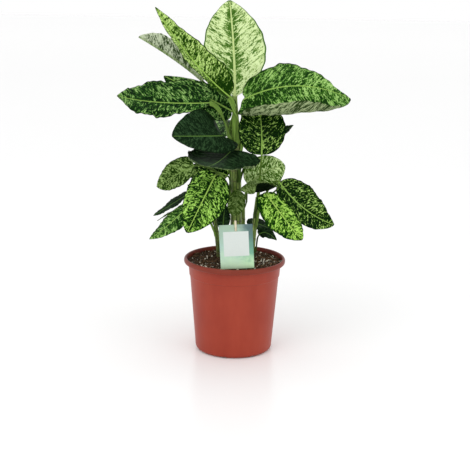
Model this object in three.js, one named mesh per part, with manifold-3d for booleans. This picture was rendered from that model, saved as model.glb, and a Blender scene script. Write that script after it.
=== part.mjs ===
// A potted dieffenbachia: a plastic nursery pot filled with potting soil, a tall cane and three
// basal shoots standing in the soil, their leaves, and a blank plant card on its stake.
// Millimetres, +Z up. The origin is the middle of the pot's foot. -Y is the plant's front,
// +X its right. Angles are in degrees, and a bearing is measured from +X towards +Y.
import * as THREE from "three";
import { mergeVertices } from "three/addons/utils/BufferGeometryUtils.js";
import Module from "manifold-3d";

const wasm = await Module();
wasm.setup();

// Driving dimensions.
const POT_TOP = 158; // the pot's height
const RIM_RADIUS = 85; // a 17 cm pot, measured over its rolled rim
const FOOT_RADIUS = 60;
const POT_WALL = 1.8;
const SOIL_EDGE = 151; // height of the soil where it meets the pot
const SOIL_CROWN = 5; // how much higher the soil is in the middle
const BLADE = 0.9; // thickness of a leaf blade
const GAP = 0.3; // play between pieces that rest on each other
const CARD = { width: 54, height: 74, thick: 0.8 };

const vec = (p) => new THREE.Vector3(...p);
const radians = THREE.MathUtils.degToRad;
const bearing = (degrees) => new THREE.Vector3(Math.cos(radians(degrees)), Math.sin(radians(degrees)), 0);

const MATERIAL = {
  pot: new THREE.MeshStandardMaterial({ color: 0xa24836, roughness: 0.5, metalness: 0 }),
  soil: new THREE.MeshStandardMaterial({ color: 0x2c1f18, roughness: 1, metalness: 0 }),
  cane: new THREE.MeshStandardMaterial({ color: 0x6f8a45, roughness: 0.6, metalness: 0 }),
  leaf: new THREE.MeshStandardMaterial({ color: 0x3c7d25, roughness: 0.4, metalness: 0 }),
  pale: new THREE.MeshStandardMaterial({ color: 0xb9cf86, roughness: 0.5, metalness: 0 }),
  card: new THREE.MeshStandardMaterial({ color: 0xcfe4d8, roughness: 0.6, metalness: 0 }),
  stake: new THREE.MeshStandardMaterial({ color: 0xe6dcc0, roughness: 0.6, metalness: 0 }),
};

const plant = new THREE.Group();

function addNode(name, geometry, material) {
  const mesh = new THREE.Mesh(geometry, material);
  mesh.name = name;
  plant.add(mesh);
  return mesh;
}

// Shared geometry helpers

function toSolid(geometry) {
  const bare = geometry.clone();
  bare.deleteAttribute("normal");
  bare.deleteAttribute("uv");
  const merged = mergeVertices(bare, 1e-4);
  return new wasm.Manifold(
    new wasm.Mesh({
      numProp: 3,
      vertProperties: new Float32Array(merged.attributes.position.array),
      triVerts: new Uint32Array(merged.index.array),
    }),
  );
}

function toGeometry(solid) {
  const mesh = solid.getMesh();
  return new THREE.BufferGeometry()
    .setAttribute("position", new THREE.BufferAttribute(new Float32Array(mesh.vertProperties), 3))
    .setIndex(new THREE.BufferAttribute(new Uint32Array(mesh.triVerts), 1));
}

// Joins rings of points into one closed body. Each ring lists its upper row from left to right and
// then its lower row from right to left. Both rows are split into triangles alike.
function loft(rings) {
  const count = rings[0].length;
  const half = count / 2;
  const index = [];
  const at = (k, i) => k * count + (i % count);
  for (let k = 0; k + 1 < rings.length; k++) {
    for (let i = 0; i < count; i++) {
      const [a, b, c, d] = [at(k, i), at(k, i + 1), at(k + 1, i + 1), at(k + 1, i)];
      if (i < half) index.push(a, b, c, a, c, d);
      else index.push(a, b, d, b, c, d);
    }
  }
  const last = rings.length - 1;
  for (let i = 0; i + 1 < half; i++) {
    const across = count - 1 - i;
    index.push(at(0, i + 1), at(0, i), at(0, across));
    index.push(at(0, i + 1), at(0, across), at(0, across - 1));
    index.push(at(last, i), at(last, i + 1), at(last, across));
    index.push(at(last, i + 1), at(last, across - 1), at(last, across));
  }
  return new THREE.BufferGeometry().setFromPoints(rings.flat()).setIndex(index);
}

// Cane and shoots

const SIDES = 10;
const STEM_STEP = 20;

// A stem is a tapering tube along a quadratic curve. Its foot stands in the soil.
function makeStem({ name, foot, bend, top, radius }) {
  const curve = new THREE.QuadraticBezierCurve3(vec(foot), vec(bend), vec(top));
  const steps = Math.round(curve.getLength() / STEM_STEP);
  const rings = [...Array(steps + 1).keys()].map((step) => {
    const centre = curve.getPoint(step / steps);
    const reach = THREE.MathUtils.lerp(radius[0], radius[1], step / steps);
    return [...Array(SIDES).keys()].map((side) => {
      const out = bearing(((side + 0.5) * 360) / SIDES);
      return centre.clone().addScaledVector(out, reach);
    });
  });
  return { name, curve, rings, radius, foot, top };
}

// The centre and radius of a stem at a height.
function stemAt(stem, height) {
  const t = THREE.MathUtils.clamp((height - stem.foot[2]) / (stem.top[2] - stem.foot[2]), 0, 1);
  return { centre: stem.curve.getPoint(t), radius: THREE.MathUtils.lerp(stem.radius[0], stem.radius[1], t) };
}

const STEMS = {
  cane: makeStem({
    name: "main_cane",
    foot: [3, 4, 108],
    bend: [1, 2, 240],
    top: [-1, 2, 372],
    radius: [10.5, 8],
  }),
  right: makeStem({
    name: "right_shoot",
    foot: [26, -5, 112],
    bend: [29, -5, 190],
    top: [37, -6, 262],
    radius: [5, 4],
  }),
  middle: makeStem({
    name: "middle_shoot",
    foot: [14, 27, 112],
    bend: [14, 24, 200],
    top: [13, 18, 250],
    radius: [4, 3],
  }),
  left: makeStem({
    name: "left_shoot",
    foot: [-24, 10, 112],
    bend: [-27, 10, 180],
    top: [-36, 10, 228],
    radius: [4.5, 3.5],
  }),
};

// Leaves

const ROLLED = { shares: [0, 0.1, 0.4, 0.62, 0.82, 1], bladeRows: 8, stalkRows: 4 };
const LARGE = { shares: [0, 0.1, 0.42, 0.74, 1], bladeRows: 8, stalkRows: 4 };
const SMALL = { shares: [0, 0.12, 0.6, 1], bladeRows: 6, stalkRows: 4 };
const NECK = 0.48; // a stalk's width at the blade over its width at the stem
const SHEATH_EDGE = 0.8; // a sheath's thickness at its foot
const RIB_HALF_WIDTH = 2.4;
const TIP_HALF_WIDTH = 0.8;

// Half a blade's width at a share u of its length: rounded at the base, drawn out to the tip.
function halfWidthAt([greatest, rounding, taper], u) {
  const widest = rounding / (rounding + taper);
  const share = (u ** rounding * (1 - u) ** taper) / (widest ** rounding * (1 - widest) ** taper);
  return Math.max(greatest * share, TIP_HALF_WIDTH);
}

// The curve through a leaf's base, middle and tip.
function midrib(leaf, u) {
  const p = vec(leaf.base).multiplyScalar((1 - u) * (1 - 2 * u));
  p.addScaledVector(vec(leaf.mid), 4 * u * (1 - u));
  return p.addScaledVector(vec(leaf.tip), u * (2 * u - 1));
}

function midribDirection(leaf, u) {
  const p = vec(leaf.base).multiplyScalar(4 * u - 3);
  p.addScaledVector(vec(leaf.mid), 4 - 8 * u);
  return p.addScaledVector(vec(leaf.tip), 4 * u - 1).normalize();
}

// Makes a direction square to another one.
function squareTo(direction, along) {
  return direction.clone().addScaledVector(along, -direction.dot(along)).normalize();
}

function bladeFrame(leaf, u) {
  const along = midribDirection(leaf, u);
  const up = squareTo(vec(leaf.face), along);
  up.applyAxisAngle(along, radians((leaf.twist ?? 0) * (u - 0.5)));
  return { along, up, right: new THREE.Vector3().crossVectors(along, up) };
}

// Where a half blade's cross-section has got to at a share v of its width: out and up, per unit.
// The half leaves the midrib at the angle fold and bends by curl more towards its margin.
const SECTION_STEPS = 24;
function section(v, fold, curl, hook) {
  let out = 0;
  let up = 0;
  const step = v / SECTION_STEPS;
  for (let i = 0; i < SECTION_STEPS; i++) {
    const angle = radians(fold + curl * ((i + 0.5) * step) ** hook);
    out += Math.cos(angle) * step;
    up += Math.sin(angle) * step;
  }
  return [out, up];
}

// A point of the blade's upper face. v runs from -1 at the left margin to 1 at the right one.
function bladePoint(leaf, u, v) {
  const { along, up, right } = bladeFrame(leaf, u);
  const side = v < 0 ? 0 : 1;
  const halfWidth = halfWidthAt(v < 0 ? leaf.left : leaf.right, u);
  const share = Math.abs(v);
  const swell = Math.sqrt(Math.sin(Math.PI * THREE.MathUtils.clamp(u, 0.02, 0.98)));
  const [out, lift] = section(share, leaf.fold[side], leaf.curl[side] * swell, leaf.hook ?? 2);
  const [height, count, phase] = leaf.wave;
  const wave = height * share * share * swell * Math.sin(2 * Math.PI * count * u + phase + 2 * side);
  const lobe = (leaf.lobe ?? 0.1) * halfWidth * share * share * (1 - u) ** 4;
  return midrib(leaf, u)
    .addScaledVector(right, Math.sign(v) * out * halfWidth)
    .addScaledVector(up, lift * halfWidth + wave)
    .addScaledVector(along, -lobe);
}

function bladeNormal(leaf, u, v) {
  const d = 0.01;
  const alongU = bladePoint(leaf, u + d, v).sub(bladePoint(leaf, u - d, v));
  const alongV = bladePoint(leaf, u, Math.min(v + d, 1)).sub(bladePoint(leaf, u, Math.max(v - d, -1)));
  return alongV.cross(alongU).normalize();
}

function bladeRing(leaf, u, rib) {
  const { shares } = leaf.detail;
  const columns = shares.length - 1;
  const ribShare = Math.min(RIB_HALF_WIDTH / halfWidthAt(leaf.left, u), 0.3);
  const upper = [];
  const lower = [];
  for (let c = -columns; c <= columns; c++) {
    const share = Math.abs(c) === 1 ? ribShare : shares[Math.abs(c)];
    const v = Math.sign(c) * share;
    const point = bladePoint(leaf, u, v);
    const depth = c === 0 ? BLADE + rib * (1 - u) : BLADE;
    upper.push(point);
    lower.unshift(point.clone().addScaledVector(bladeNormal(leaf, u, v), -depth));
  }
  return [...upper, ...lower];
}

// A leaf's stalk clasps the stem as a sheath and then runs as an oval rod to the blade's base.
function stalkRings(leaf, stem) {
  const { centre, radius } = stemAt(stem, leaf.height);
  const outward = bearing(leaf.toward);
  const inner = radius + GAP;
  const [width, thick, neck = width * NECK] = leaf.stalk;
  const start = centre.clone().addScaledVector(outward, inner + thick / 2);
  const base = vec(leaf.base);
  const first = bladeFrame(leaf, 0);
  const reach = start.distanceTo(base);
  const rise = new THREE.Vector3(0, 0, 1).addScaledVector(outward, 0.12).normalize();
  const path = new THREE.CubicBezierCurve3(
    start,
    start.clone().addScaledVector(rise, reach * 0.45),
    base.clone().addScaledVector(first.along, -reach * 0.2),
    base,
  );
  const rings = [];
  const { shares, stalkRows } = leaf.detail;
  const half = shares.length - 1;
  for (let k = 0; k <= stalkRows; k++) {
    const t = 0.98 * (k / stalkRows) ** 0.8;
    const point = path.getPoint(t);
    const along = path.getTangent(t);
    const hint = outward.clone().negate().lerp(first.up, THREE.MathUtils.smoothstep(t, 0, 1));
    const up = squareTo(hint, along);
    const right = new THREE.Vector3().crossVectors(along, up);
    const narrowing = THREE.MathUtils.smoothstep(t, 0, 0.9);
    const halfWidth = THREE.MathUtils.lerp(width / 2, neck / 2, narrowing);
    const full = THREE.MathUtils.lerp(thick / 2, thick * 0.42, t);
    const halfThick = k === 0 ? SHEATH_EDGE / 2 : full;
    point.addScaledVector(outward, halfThick - full);
    const clasp = 1 - THREE.MathUtils.smoothstep(t, 0, 0.5);
    const ring = (sign) => (c) => {
      const turn = (c / half) * radians(80);
      const oval = point
        .clone()
        .addScaledVector(right, Math.sin(turn) * halfWidth)
        .addScaledVector(up, sign * Math.cos(turn) * halfThick);
      const across = (Math.sin(turn) * halfWidth) / inner;
      const bent = (1 - Math.cos(across)) * inner;
      return oval.addScaledVector(outward, -bent * clasp);
    };
    const columns = [...Array(2 * half + 1).keys()].map((i) => i - half);
    rings.push([...columns.map(ring(1)), ...columns.reverse().map(ring(-1))]);
  }
  return rings;
}

function makeLeaf(leaf) {
  const rings = stalkRings(leaf, STEMS[leaf.stem]);
  const rib = leaf.stalk[1] * 0.6;
  const { bladeRows } = leaf.detail;
  for (let i = 0; i <= bladeRows; i++) {
    const even = i / bladeRows;
    const u = THREE.MathUtils.lerp(even, 0.5 - 0.5 * Math.cos(Math.PI * even), 0.7);
    rings.push(bladeRing(leaf, THREE.MathUtils.clamp(u, 0.02, 0.99), rib));
  }
  return loft(rings);
}

// Each leaf: the stem it grows from, the height and bearing of its sheath there, its stalk's width
// and thickness and where given its width at the blade, its blade's base, middle and tip, and the way
// its upper side faces. left and right give each half's width, how round it is at the base and how it
// tapers to the tip. fold and curl bend the two halves, and hook says how late the curl sets in. lobe
// draws the blade's base backwards. wave is the height, count and phase of the margins' waves.
const LEAVES = {
  top_centre_leaf: {
    detail: LARGE, stem: "cane", height: 352, toward: 90, stalk: [12, 4.5, 9],
    base: [-4, 26, 424], mid: [-7, 50, 500], tip: [-15, 68, 578],
    face: [-0.03, -0.93, 0.36], twist: -14, left: [52, 0.7, 0.75], right: [55.5, 0.74, 0.88],
    fold: [20, 19], curl: [15, -7], hook: 4, lobe: 0, wave: [2, 3, 0], pale: true,
  },
  upper_left_leaf: {
    detail: LARGE, stem: "cane", height: 350, toward: -92, stalk: [14, 4.5, 12],
    base: [-13, -15, 427], mid: [-72, -33, 486], tip: [-128, -51, 565],
    face: [0.26, -0.81, 0.58], twist: -6, left: [24, 0.45, 0.76], right: [32, 0.37, 0.89],
    fold: [41, 39], curl: [-13, 14], hook: 2.4, lobe: 0, wave: [2, 3, 1],
  },
  far_left_leaf: {
    detail: LARGE, stem: "cane", height: 334, toward: 135, stalk: [9, 4],
    base: [-56, 26, 449], mid: [-103, 25, 483], tip: [-162, 29, 517],
    face: [0.6, 0.36, 0.72], twist: 28, left: [29, 0.79, 0.67], right: [24, 0.8, 0.6],
    fold: [46, 62], curl: [13, 6], hook: 2.5, lobe: 0.2, wave: [1.5, 4, 0], pale: true,
  },
  inner_left_leaf: {
    detail: LARGE, stem: "cane", height: 365, toward: 172, stalk: [7, 3.5],
    base: [-8, 12, 401], mid: [-60, 16, 428], tip: [-120, 18, 456],
    face: [0.08, -1, 0.03], left: [30, 0.5, 0.7], right: [22, 0.42, 0.9],
    fold: [0, 0], curl: [-10, -10], lobe: 0.6, wave: [2, 3, 0],
  },
  right_leaf: {
    detail: ROLLED, stem: "cane", height: 338, toward: -4, stalk: [14, 4, 10],
    base: [11, -3, 422], mid: [92, -54, 449], tip: [179, -44, 429],
    face: [0, -0.63, 0.77], twist: -12, left: [50, 0.43, 1.1], right: [88, 0.75, 0.83],
    fold: [7, -20], curl: [-7, 186], hook: 2.9, lobe: 0.7, wave: [2, 3, 0.6],
  },
  left_leaf: {
    detail: LARGE, stem: "cane", height: 340, toward: -156, stalk: [16, 4, 10],
    base: [-44, -20, 417], mid: [-127, -30, 418], tip: [-187, -60, 430],
    face: [0.09, -0.67, 0.74], twist: -5, left: [33.5, 0.8, 0.6], right: [51, 0.38, 0.95],
    fold: [9, 3], curl: [-22, -16], hook: 3.6, lobe: 0.3, wave: [3, 3, 2],
  },
  shaded_left_leaf: {
    detail: LARGE, stem: "cane", height: 316, toward: -135, stalk: [8, 3.5],
    base: [-22, -29, 366], mid: [-46, -59, 369], tip: [-99, -98, 373],
    face: [0.4, -0.75, 0.55], twist: -34, left: [33, 0.4, 0.74], right: [51, 0.33, 0.6],
    fold: [8, -2], curl: [-14, -9], hook: 4.7, lobe: 1.1, wave: [1.5, 2, 0],
  },
  shaded_front_leaf: {
    detail: LARGE, stem: "cane", height: 286, toward: -60, stalk: [9, 4],
    base: [-7, -18, 342], mid: [-29, -72, 330], tip: [-47, -118, 331],
    face: [0, -0.19, 0.98], twist: -3, left: [68, 0.49, 0.61], right: [54, 0.53, 0.67],
    fold: [-1, 1], curl: [46, 90], hook: 6, lobe: 0, wave: [2, 3, 1],
  },
  inner_right_leaf: {
    detail: LARGE, stem: "right", height: 250, toward: -80, stalk: [6, 3],
    base: [41, -26, 336], mid: [40, -21, 376], tip: [36, -6, 412],
    face: [0, -1, 0.1], left: [37.5, 0.44, 0.48], right: [39, 0.52, 0.52],
    fold: [8, 8], curl: [-10, -10], wave: [1, 2, 0],
  },
  pale_right_leaf: {
    detail: SMALL, stem: "middle", height: 236, toward: 0, stalk: [6, 3],
    base: [21, 4, 281], mid: [49, 2, 304], tip: [81, 0, 313],
    face: [0.1, -0.9, 0.3], left: [28, 0.52, 0.76], right: [30, 0.52, 0.5],
    fold: [4, 8], curl: [-6, -6], wave: [1, 2, 0], pale: true,
  },
  arched_leaf: {
    detail: SMALL, stem: "right", height: 226, toward: -120, stalk: [5, 3],
    base: [66, -35, 287], mid: [30, -39, 296], tip: [7, -52, 282],
    face: [0.47, -0.11, 0.88], twist: 8, left: [26, 0.9, 0.3], right: [29, 0.55, 0.55],
    fold: [0, -66], curl: [33, -6], hook: 1.5, lobe: 0, wave: [1, 2, 0],
  },
  bright_right_leaf: {
    detail: LARGE, stem: "right", height: 210, toward: -50, stalk: [6, 3],
    base: [50, -44, 275], mid: [79, -66, 239], tip: [107, -79, 208],
    face: [0.21, -0.58, 0.79], left: [26, 0.6, 0.66], right: [31, 0.53, 0.8],
    fold: [5, -10], curl: [-42, -14], hook: 3.4, lobe: 0.7, wave: [1.5, 3, 0],
  },
  outer_right_leaf: {
    detail: LARGE, stem: "right", height: 232, toward: 10, stalk: [6, 3],
    base: [71, -17, 290], mid: [112, -35, 250], tip: [161, -40, 225],
    face: [0.43, -0.75, 0.51], twist: -5, left: [33, 0.47, 0.84], right: [29, 0.61, 0.73],
    fold: [37, -1], curl: [-11, -5], hook: 3, lobe: 0, wave: [1.5, 3, 1],
  },
  bright_left_leaf: {
    detail: LARGE, stem: "cane", height: 256, toward: -145, stalk: [8, 3.5],
    base: [-33, -52, 305], mid: [-52, -66, 267], tip: [-76, -84, 218],
    face: [-0.14, -0.88, 0.46], left: [40, 0.61, 0.74], right: [35, 0.43, 0.69],
    fold: [14, 7], curl: [-30, -38], hook: 1.5, lobe: 0.4, wave: [1.5, 3, 0],
  },
  round_left_leaf: {
    detail: SMALL, stem: "cane", height: 268, toward: 175, stalk: [7, 3],
    base: [-69, -2, 312], mid: [-103, -9, 295], tip: [-129, -19, 279],
    face: [-0.23, -0.7, 0.65], twist: -12, left: [25, 0.45, 0.51], right: [30, 0.32, 0.98],
    fold: [5, 5], curl: [-11, -8], wave: [1, 2, 0],
  },
  rear_left_leaf: {
    detail: SMALL, stem: "cane", height: 246, toward: 165, stalk: [6, 3],
    base: [-14, 23, 292], mid: [-48, 33, 298], tip: [-84, 40, 288],
    face: [-0.1, -0.8, 0.6], left: [19, 0.42, 0.7], right: [27, 0.42, 0.7],
    fold: [4, 4], curl: [-10, -10], wave: [1, 2, 0],
  },
  narrow_left_leaf: {
    detail: SMALL, stem: "left", height: 208, toward: 170, stalk: [6, 3],
    base: [-80, 9, 263], mid: [-107, 7, 245], tip: [-137, 4, 226],
    face: [-0.42, -0.31, 0.85], left: [13, 0.57, 0.66], right: [17, 0.33, 0.86],
    fold: [2, 2], curl: [-12, -12], wave: [1, 2, 0],
  },
  lower_left_leaf: {
    detail: SMALL, stem: "left", height: 186, toward: -140, stalk: [6, 3],
    base: [-76, -16, 249], mid: [-108, -26, 219], tip: [-140, -36, 195],
    face: [-0.28, -0.5, 0.82], twist: 6, left: [24, 0.47, 0.87], right: [23.5, 0.47, 0.85],
    fold: [8, -6], curl: [-39, -10], hook: 1.8, lobe: 0, wave: [1, 2, 0],
  },
  slim_left_leaf: {
    detail: SMALL, stem: "left", height: 196, toward: 110, stalk: [5, 3],
    base: [-74, 42, 238], mid: [-106, 44, 226], tip: [-134, 44, 208],
    face: [-0.45, 0.2, 0.87], left: [17, 0.52, 0.76], right: [17, 0.52, 0.76],
    fold: [2, 2], curl: [-10, -10], wave: [1, 2, 0],
  },
  rear_right_leaf: {
    detail: SMALL, stem: "cane", height: 288, toward: 35, stalk: [6, 3],
    base: [44, 28, 346], mid: [70, 38, 362], tip: [95, 44, 376],
    face: [-0.3, -0.2, 0.9], left: [22, 0.52, 0.76], right: [22, 0.52, 0.76],
    fold: [8, 8], curl: [-8, -8], wave: [1, 2, 0],
  },
  low_rear_leaf: {
    detail: SMALL, stem: "middle", height: 176, toward: 60, stalk: [5, 3],
    base: [24, 56, 199], mid: [42, 62, 201], tip: [66, 66, 188],
    face: [0.1, -0.3, 0.95], left: [20, 0.52, 0.76], right: [20, 0.52, 0.76],
    fold: [4, 4], curl: [-8, -8], wave: [1, 2, 0],
  },
  low_right_leaf: {
    detail: SMALL, stem: "right", height: 166, toward: -15, stalk: [5, 3],
    base: [40, 3, 196], mid: [53, 2, 200], tip: [70, 0, 188],
    face: [0.3, -0.5, 0.8], left: [13, 0.52, 0.76], right: [13, 0.52, 0.76],
    fold: [4, 4], curl: [-8, -8], wave: [1, 2, 0],
  },
  cane_front_leaf: {
    detail: SMALL, stem: "cane", height: 232, toward: -90, stalk: [7, 3],
    base: [4, -22, 276], mid: [1, -29, 256], tip: [-4, -31, 236],
    face: [0.1, -1, 0.2], left: [15, 0.5, 0.5], right: [14, 0.5, 0.5],
    fold: [4, 4], curl: [-8, -8], wave: [1, 2, 0],
  },
  low_left_leaf: {
    detail: SMALL, stem: "left", height: 160, toward: -70, stalk: [5, 3],
    base: [-20, -10, 206], mid: [-19, -14, 230], tip: [-17, -18, 252],
    face: [0.1, -0.8, 0.5], left: [11, 0.52, 0.76], right: [11, 0.52, 0.76],
    fold: [4, 4], curl: [-8, -8], wave: [1, 2, 0],
  },
  back_right_leaf: {
    detail: LARGE, stem: "cane", height: 306, toward: 72, stalk: [9, 4],
    base: [26, 46, 380], mid: [66, 100, 396], tip: [92, 158, 384],
    face: [0, -0.1, 1], left: [45, 0.5, 0.76], right: [45, 0.5, 0.76],
    fold: [14, 14], curl: [-14, -14], wave: [2, 3, 0],
  },
  back_left_leaf: {
    detail: LARGE, stem: "cane", height: 276, toward: 125, stalk: [9, 4],
    base: [-26, 46, 352], mid: [-56, 102, 366], tip: [-84, 152, 354],
    face: [0, -0.1, 1], left: [46, 0.5, 0.76], right: [46, 0.5, 0.76],
    fold: [14, 14], curl: [-14, -14], wave: [2, 3, 0],
  },
  back_low_left_leaf: {
    detail: SMALL, stem: "left", height: 214, toward: 75, stalk: [6, 3],
    base: [-46, 48, 258], mid: [-58, 84, 262], tip: [-70, 120, 244],
    face: [0, 0.1, 1], left: [28, 0.5, 0.76], right: [28, 0.5, 0.76],
    fold: [10, 10], curl: [-12, -12], wave: [1, 2, 0],
  },
  back_low_right_leaf: {
    detail: SMALL, stem: "middle", height: 238, toward: 90, stalk: [6, 3],
    base: [30, 60, 272], mid: [50, 92, 276], tip: [70, 126, 256],
    face: [0, 0.1, 1], left: [30, 0.5, 0.76], right: [30, 0.5, 0.76],
    fold: [10, 10], curl: [-12, -12], wave: [1, 2, 0],
  },
};

for (const [name, leaf] of Object.entries(LEAVES)) {
  addNode(name, makeLeaf(leaf), leaf.pale ? MATERIAL.pale : MATERIAL.leaf);
}

// Pot

const TURNS = 40; // flat facets round the pot
const COLLAR = { low: 128, high: 148 };
const wallRadius = (z) => 64.3 + 0.082 * z;
const CHANNEL = { from: 32, to: 47, lift: 4 };
const NOTCH = { count: 8, width: 9, height: 2.4, first: -104.5 };
const DRAIN = { count: 8, radius: 4.5, at: 39.5 };

const OUTER_PROFILE = [
  [0, 0], [CHANNEL.from - 2, 0], [CHANNEL.from + 1, CHANNEL.lift], [CHANNEL.to - 1, CHANNEL.lift],
  [CHANNEL.to + 2, 0], [FOOT_RADIUS, 0], [63.4, 2], [64.8, 5], [wallRadius(9), 9],
  [wallRadius(COLLAR.low), COLLAR.low], [76, COLLAR.low + 0.8], [77.5, COLLAR.high],
  [82.8, 148.8], [84.5, 150], [RIM_RADIUS, 152], [RIM_RADIUS, 154.8], [84, 157], [82.4, POT_TOP],
  [81, POT_TOP - 0.4], [80.2, 156.2],
];
const INNER_PROFILE = [
  [80.2, 156.2], [79.4, SOIL_EDGE - 1], [75.7, 146.4], [74.2, COLLAR.low],
  [wallRadius(COLLAR.low - 1) - POT_WALL, COLLAR.low - 1], [wallRadius(9) - POT_WALL, 9],
  [62.4, 4.4], [FOOT_RADIUS - 1.4, POT_WALL], [CHANNEL.to + 3.4, POT_WALL],
  [CHANNEL.to, CHANNEL.lift + POT_WALL], [CHANNEL.from - 0.4, CHANNEL.lift + POT_WALL],
  [CHANNEL.from - 3, POT_WALL], [0, POT_WALL],
];

// Turns a closed profile about the pot's axis.
function turned(profile) {
  const points = profile.map(([r, z]) => new THREE.Vector2(r, z));
  const geometry = new THREE.LatheGeometry(points, TURNS);
  geometry.rotateX(Math.PI / 2);
  return toSolid(geometry);
}

function boxAt(size, place) {
  const geometry = new THREE.BoxGeometry(...size);
  geometry.applyMatrix4(place);
  return toSolid(geometry);
}

// A block across the foot ring at each notch, grown by a margin on its sides and roof.
function notchBlocks(margin) {
  const blocks = [];
  for (let i = 0; i < NOTCH.count; i++) {
    const turn = new THREE.Matrix4().makeRotationZ(radians(NOTCH.first + (i * 360) / NOTCH.count));
    const height = NOTCH.height + margin + 1;
    const place = turn.multiply(new THREE.Matrix4().makeTranslation(57, 0, height / 2 - 1));
    blocks.push(boxAt([24, NOTCH.width + 2 * margin, height], place));
  }
  return wasm.Manifold.union(blocks);
}

function drainHoles() {
  const holes = [];
  for (let i = 0; i < DRAIN.count; i++) {
    const geometry = new THREE.CylinderGeometry(DRAIN.radius, DRAIN.radius, 12, 10);
    geometry.rotateX(Math.PI / 2);
    const spot = bearing(NOTCH.first + ((i + 0.5) * 360) / DRAIN.count).multiplyScalar(DRAIN.at);
    geometry.translate(spot.x, spot.y, CHANNEL.lift);
    holes.push(toSolid(geometry));
  }
  return wasm.Manifold.union(holes);
}

const shell = turned([...OUTER_PROFILE, ...INNER_PROFILE.slice(1)]);
const roofs = notchBlocks(POT_WALL).intersect(turned([...OUTER_PROFILE, [0, 156.2]]));
const pot = shell.add(roofs).subtract(notchBlocks(0)).subtract(drainHoles());
addNode("pot", toGeometry(pot), MATERIAL.pot);

// Potting soil

// The soil's surface rises towards the middle and is a little uneven.
function soilHeight(x, y) {
  const r = Math.hypot(x, y) / 79;
  const bumps = 0.5 * Math.sin(x / 7 + 1) * Math.cos(y / 6) + 0.4 * Math.sin((x + 2 * y) / 11);
  return SOIL_EDGE + SOIL_CROWN * (1 - r * r) + bumps * (1 - r ** 6);
}

// Moves a profile inwards by a distance, square to its edges. The profile runs from the top down.
function inset(profile, distance) {
  const points = profile.map(([r, z]) => new THREE.Vector2(r, z));
  return points.map((point, k) => {
    const before = point.clone().sub(points[k - 1] ?? point);
    const after = (points[k + 1] ?? point).clone().sub(point);
    const edges = [before, after];
    const normals = edges.filter((e) => e.length() > 0).map((e) => new THREE.Vector2(e.y, -e.x).normalize());
    const mean = normals.reduce((a, b) => a.clone().add(b)).normalize();
    return point.clone().addScaledVector(mean, distance / mean.dot(normals[0])).toArray();
  });
}

// The soil's sides follow the inside of the pot. Its relief is a grid of rings.
function soilBody() {
  const sides = inset(INNER_PROFILE.slice(1), GAP).reverse();
  sides[sides.length - 1] = [79.1, SOIL_EDGE];
  const rings = sides.slice(1).map(([r, z]) => ({ r, z }));
  const surface = [68, 54, 40, 26, 13].map((r) => ({ r, z: null }));
  const points = [new THREE.Vector3(0, 0, POT_WALL + GAP)];
  for (const { r, z } of [...rings, ...surface]) {
    for (let i = 0; i < TURNS; i++) {
      const turn = (i * 2 * Math.PI) / TURNS;
      const [x, y] = [r * Math.sin(turn), r * Math.cos(turn)];
      points.push(new THREE.Vector3(x, y, z ?? soilHeight(x, y)));
    }
  }
  points.push(new THREE.Vector3(0, 0, soilHeight(0, 0)));
  const index = [];
  const count = rings.length + surface.length;
  const at = (k, i) => 1 + k * TURNS + (i % TURNS);
  for (let i = 0; i < TURNS; i++) {
    index.push(0, at(0, i), at(0, i + 1));
    for (let k = 0; k + 1 < count; k++) {
      index.push(at(k, i), at(k + 1, i), at(k + 1, i + 1), at(k, i), at(k + 1, i + 1), at(k, i + 1));
    }
    index.push(at(count - 1, i), points.length - 1, at(count - 1, i + 1));
  }
  return toSolid(new THREE.BufferGeometry().setFromPoints(points).setIndex(index));
}

// A plain hole for a stem: a tube along the stem's curve, wider than the stem by the gap.
function stemHole(stem) {
  const foot = vec(stem.foot);
  const axis = stemAt(stem, SOIL_EDGE + 12).centre.sub(foot);
  const radius = stem.radius[0] + 2 * GAP;
  const geometry = new THREE.CylinderGeometry(radius, radius, axis.length() + GAP, SIDES);
  geometry.translate(0, axis.length() / 2 - GAP / 2, 0);
  const upright = new THREE.Vector3(0, 1, 0);
  geometry.applyQuaternion(new THREE.Quaternion().setFromUnitVectors(upright, axis.clone().normalize()));
  geometry.translate(foot.x, foot.y, foot.z);
  return toSolid(geometry);
}

// Plant card on its stake

const CARD_FRAME = new THREE.Matrix4().makeBasis(
  vec([1, 0, 0.06]).normalize(),
  vec([-0.06, -0.055, 1]).normalize(),
  new THREE.Vector3().crossVectors(vec([1, 0, 0.06]), vec([-0.06, -0.055, 1])).normalize(),
);
CARD_FRAME.setPosition(5, -68.2, 156.2);
const STAKE = { width: 3.2, thick: 1.6, foot: -38, top: 81, crossing: [63, 71] };

// In the card's own frame x runs along its foot, y up its face and z out of its face.
function cardBody() {
  const { width, height, thick } = CARD;
  const slot = [STAKE.width + 0.8, STAKE.crossing[1] - STAKE.crossing[0]];
  const shape = new THREE.Shape();
  shape.moveTo(-width / 2, 0).lineTo(width / 2, 0).lineTo(width / 2, height).lineTo(-width / 2, height);
  const middle = (STAKE.crossing[0] + STAKE.crossing[1]) / 2;
  const hole = new THREE.Path();
  hole.moveTo(-slot[0] / 2, middle - slot[1] / 2).lineTo(-slot[0] / 2, middle + slot[1] / 2);
  hole.lineTo(slot[0] / 2, middle + slot[1] / 2).lineTo(slot[0] / 2, middle - slot[1] / 2);
  shape.holes.push(hole);
  const geometry = new THREE.ExtrudeGeometry(shape, { depth: thick, bevelEnabled: false });
  geometry.translate(0, 0, -thick / 2);
  return geometry;
}

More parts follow.
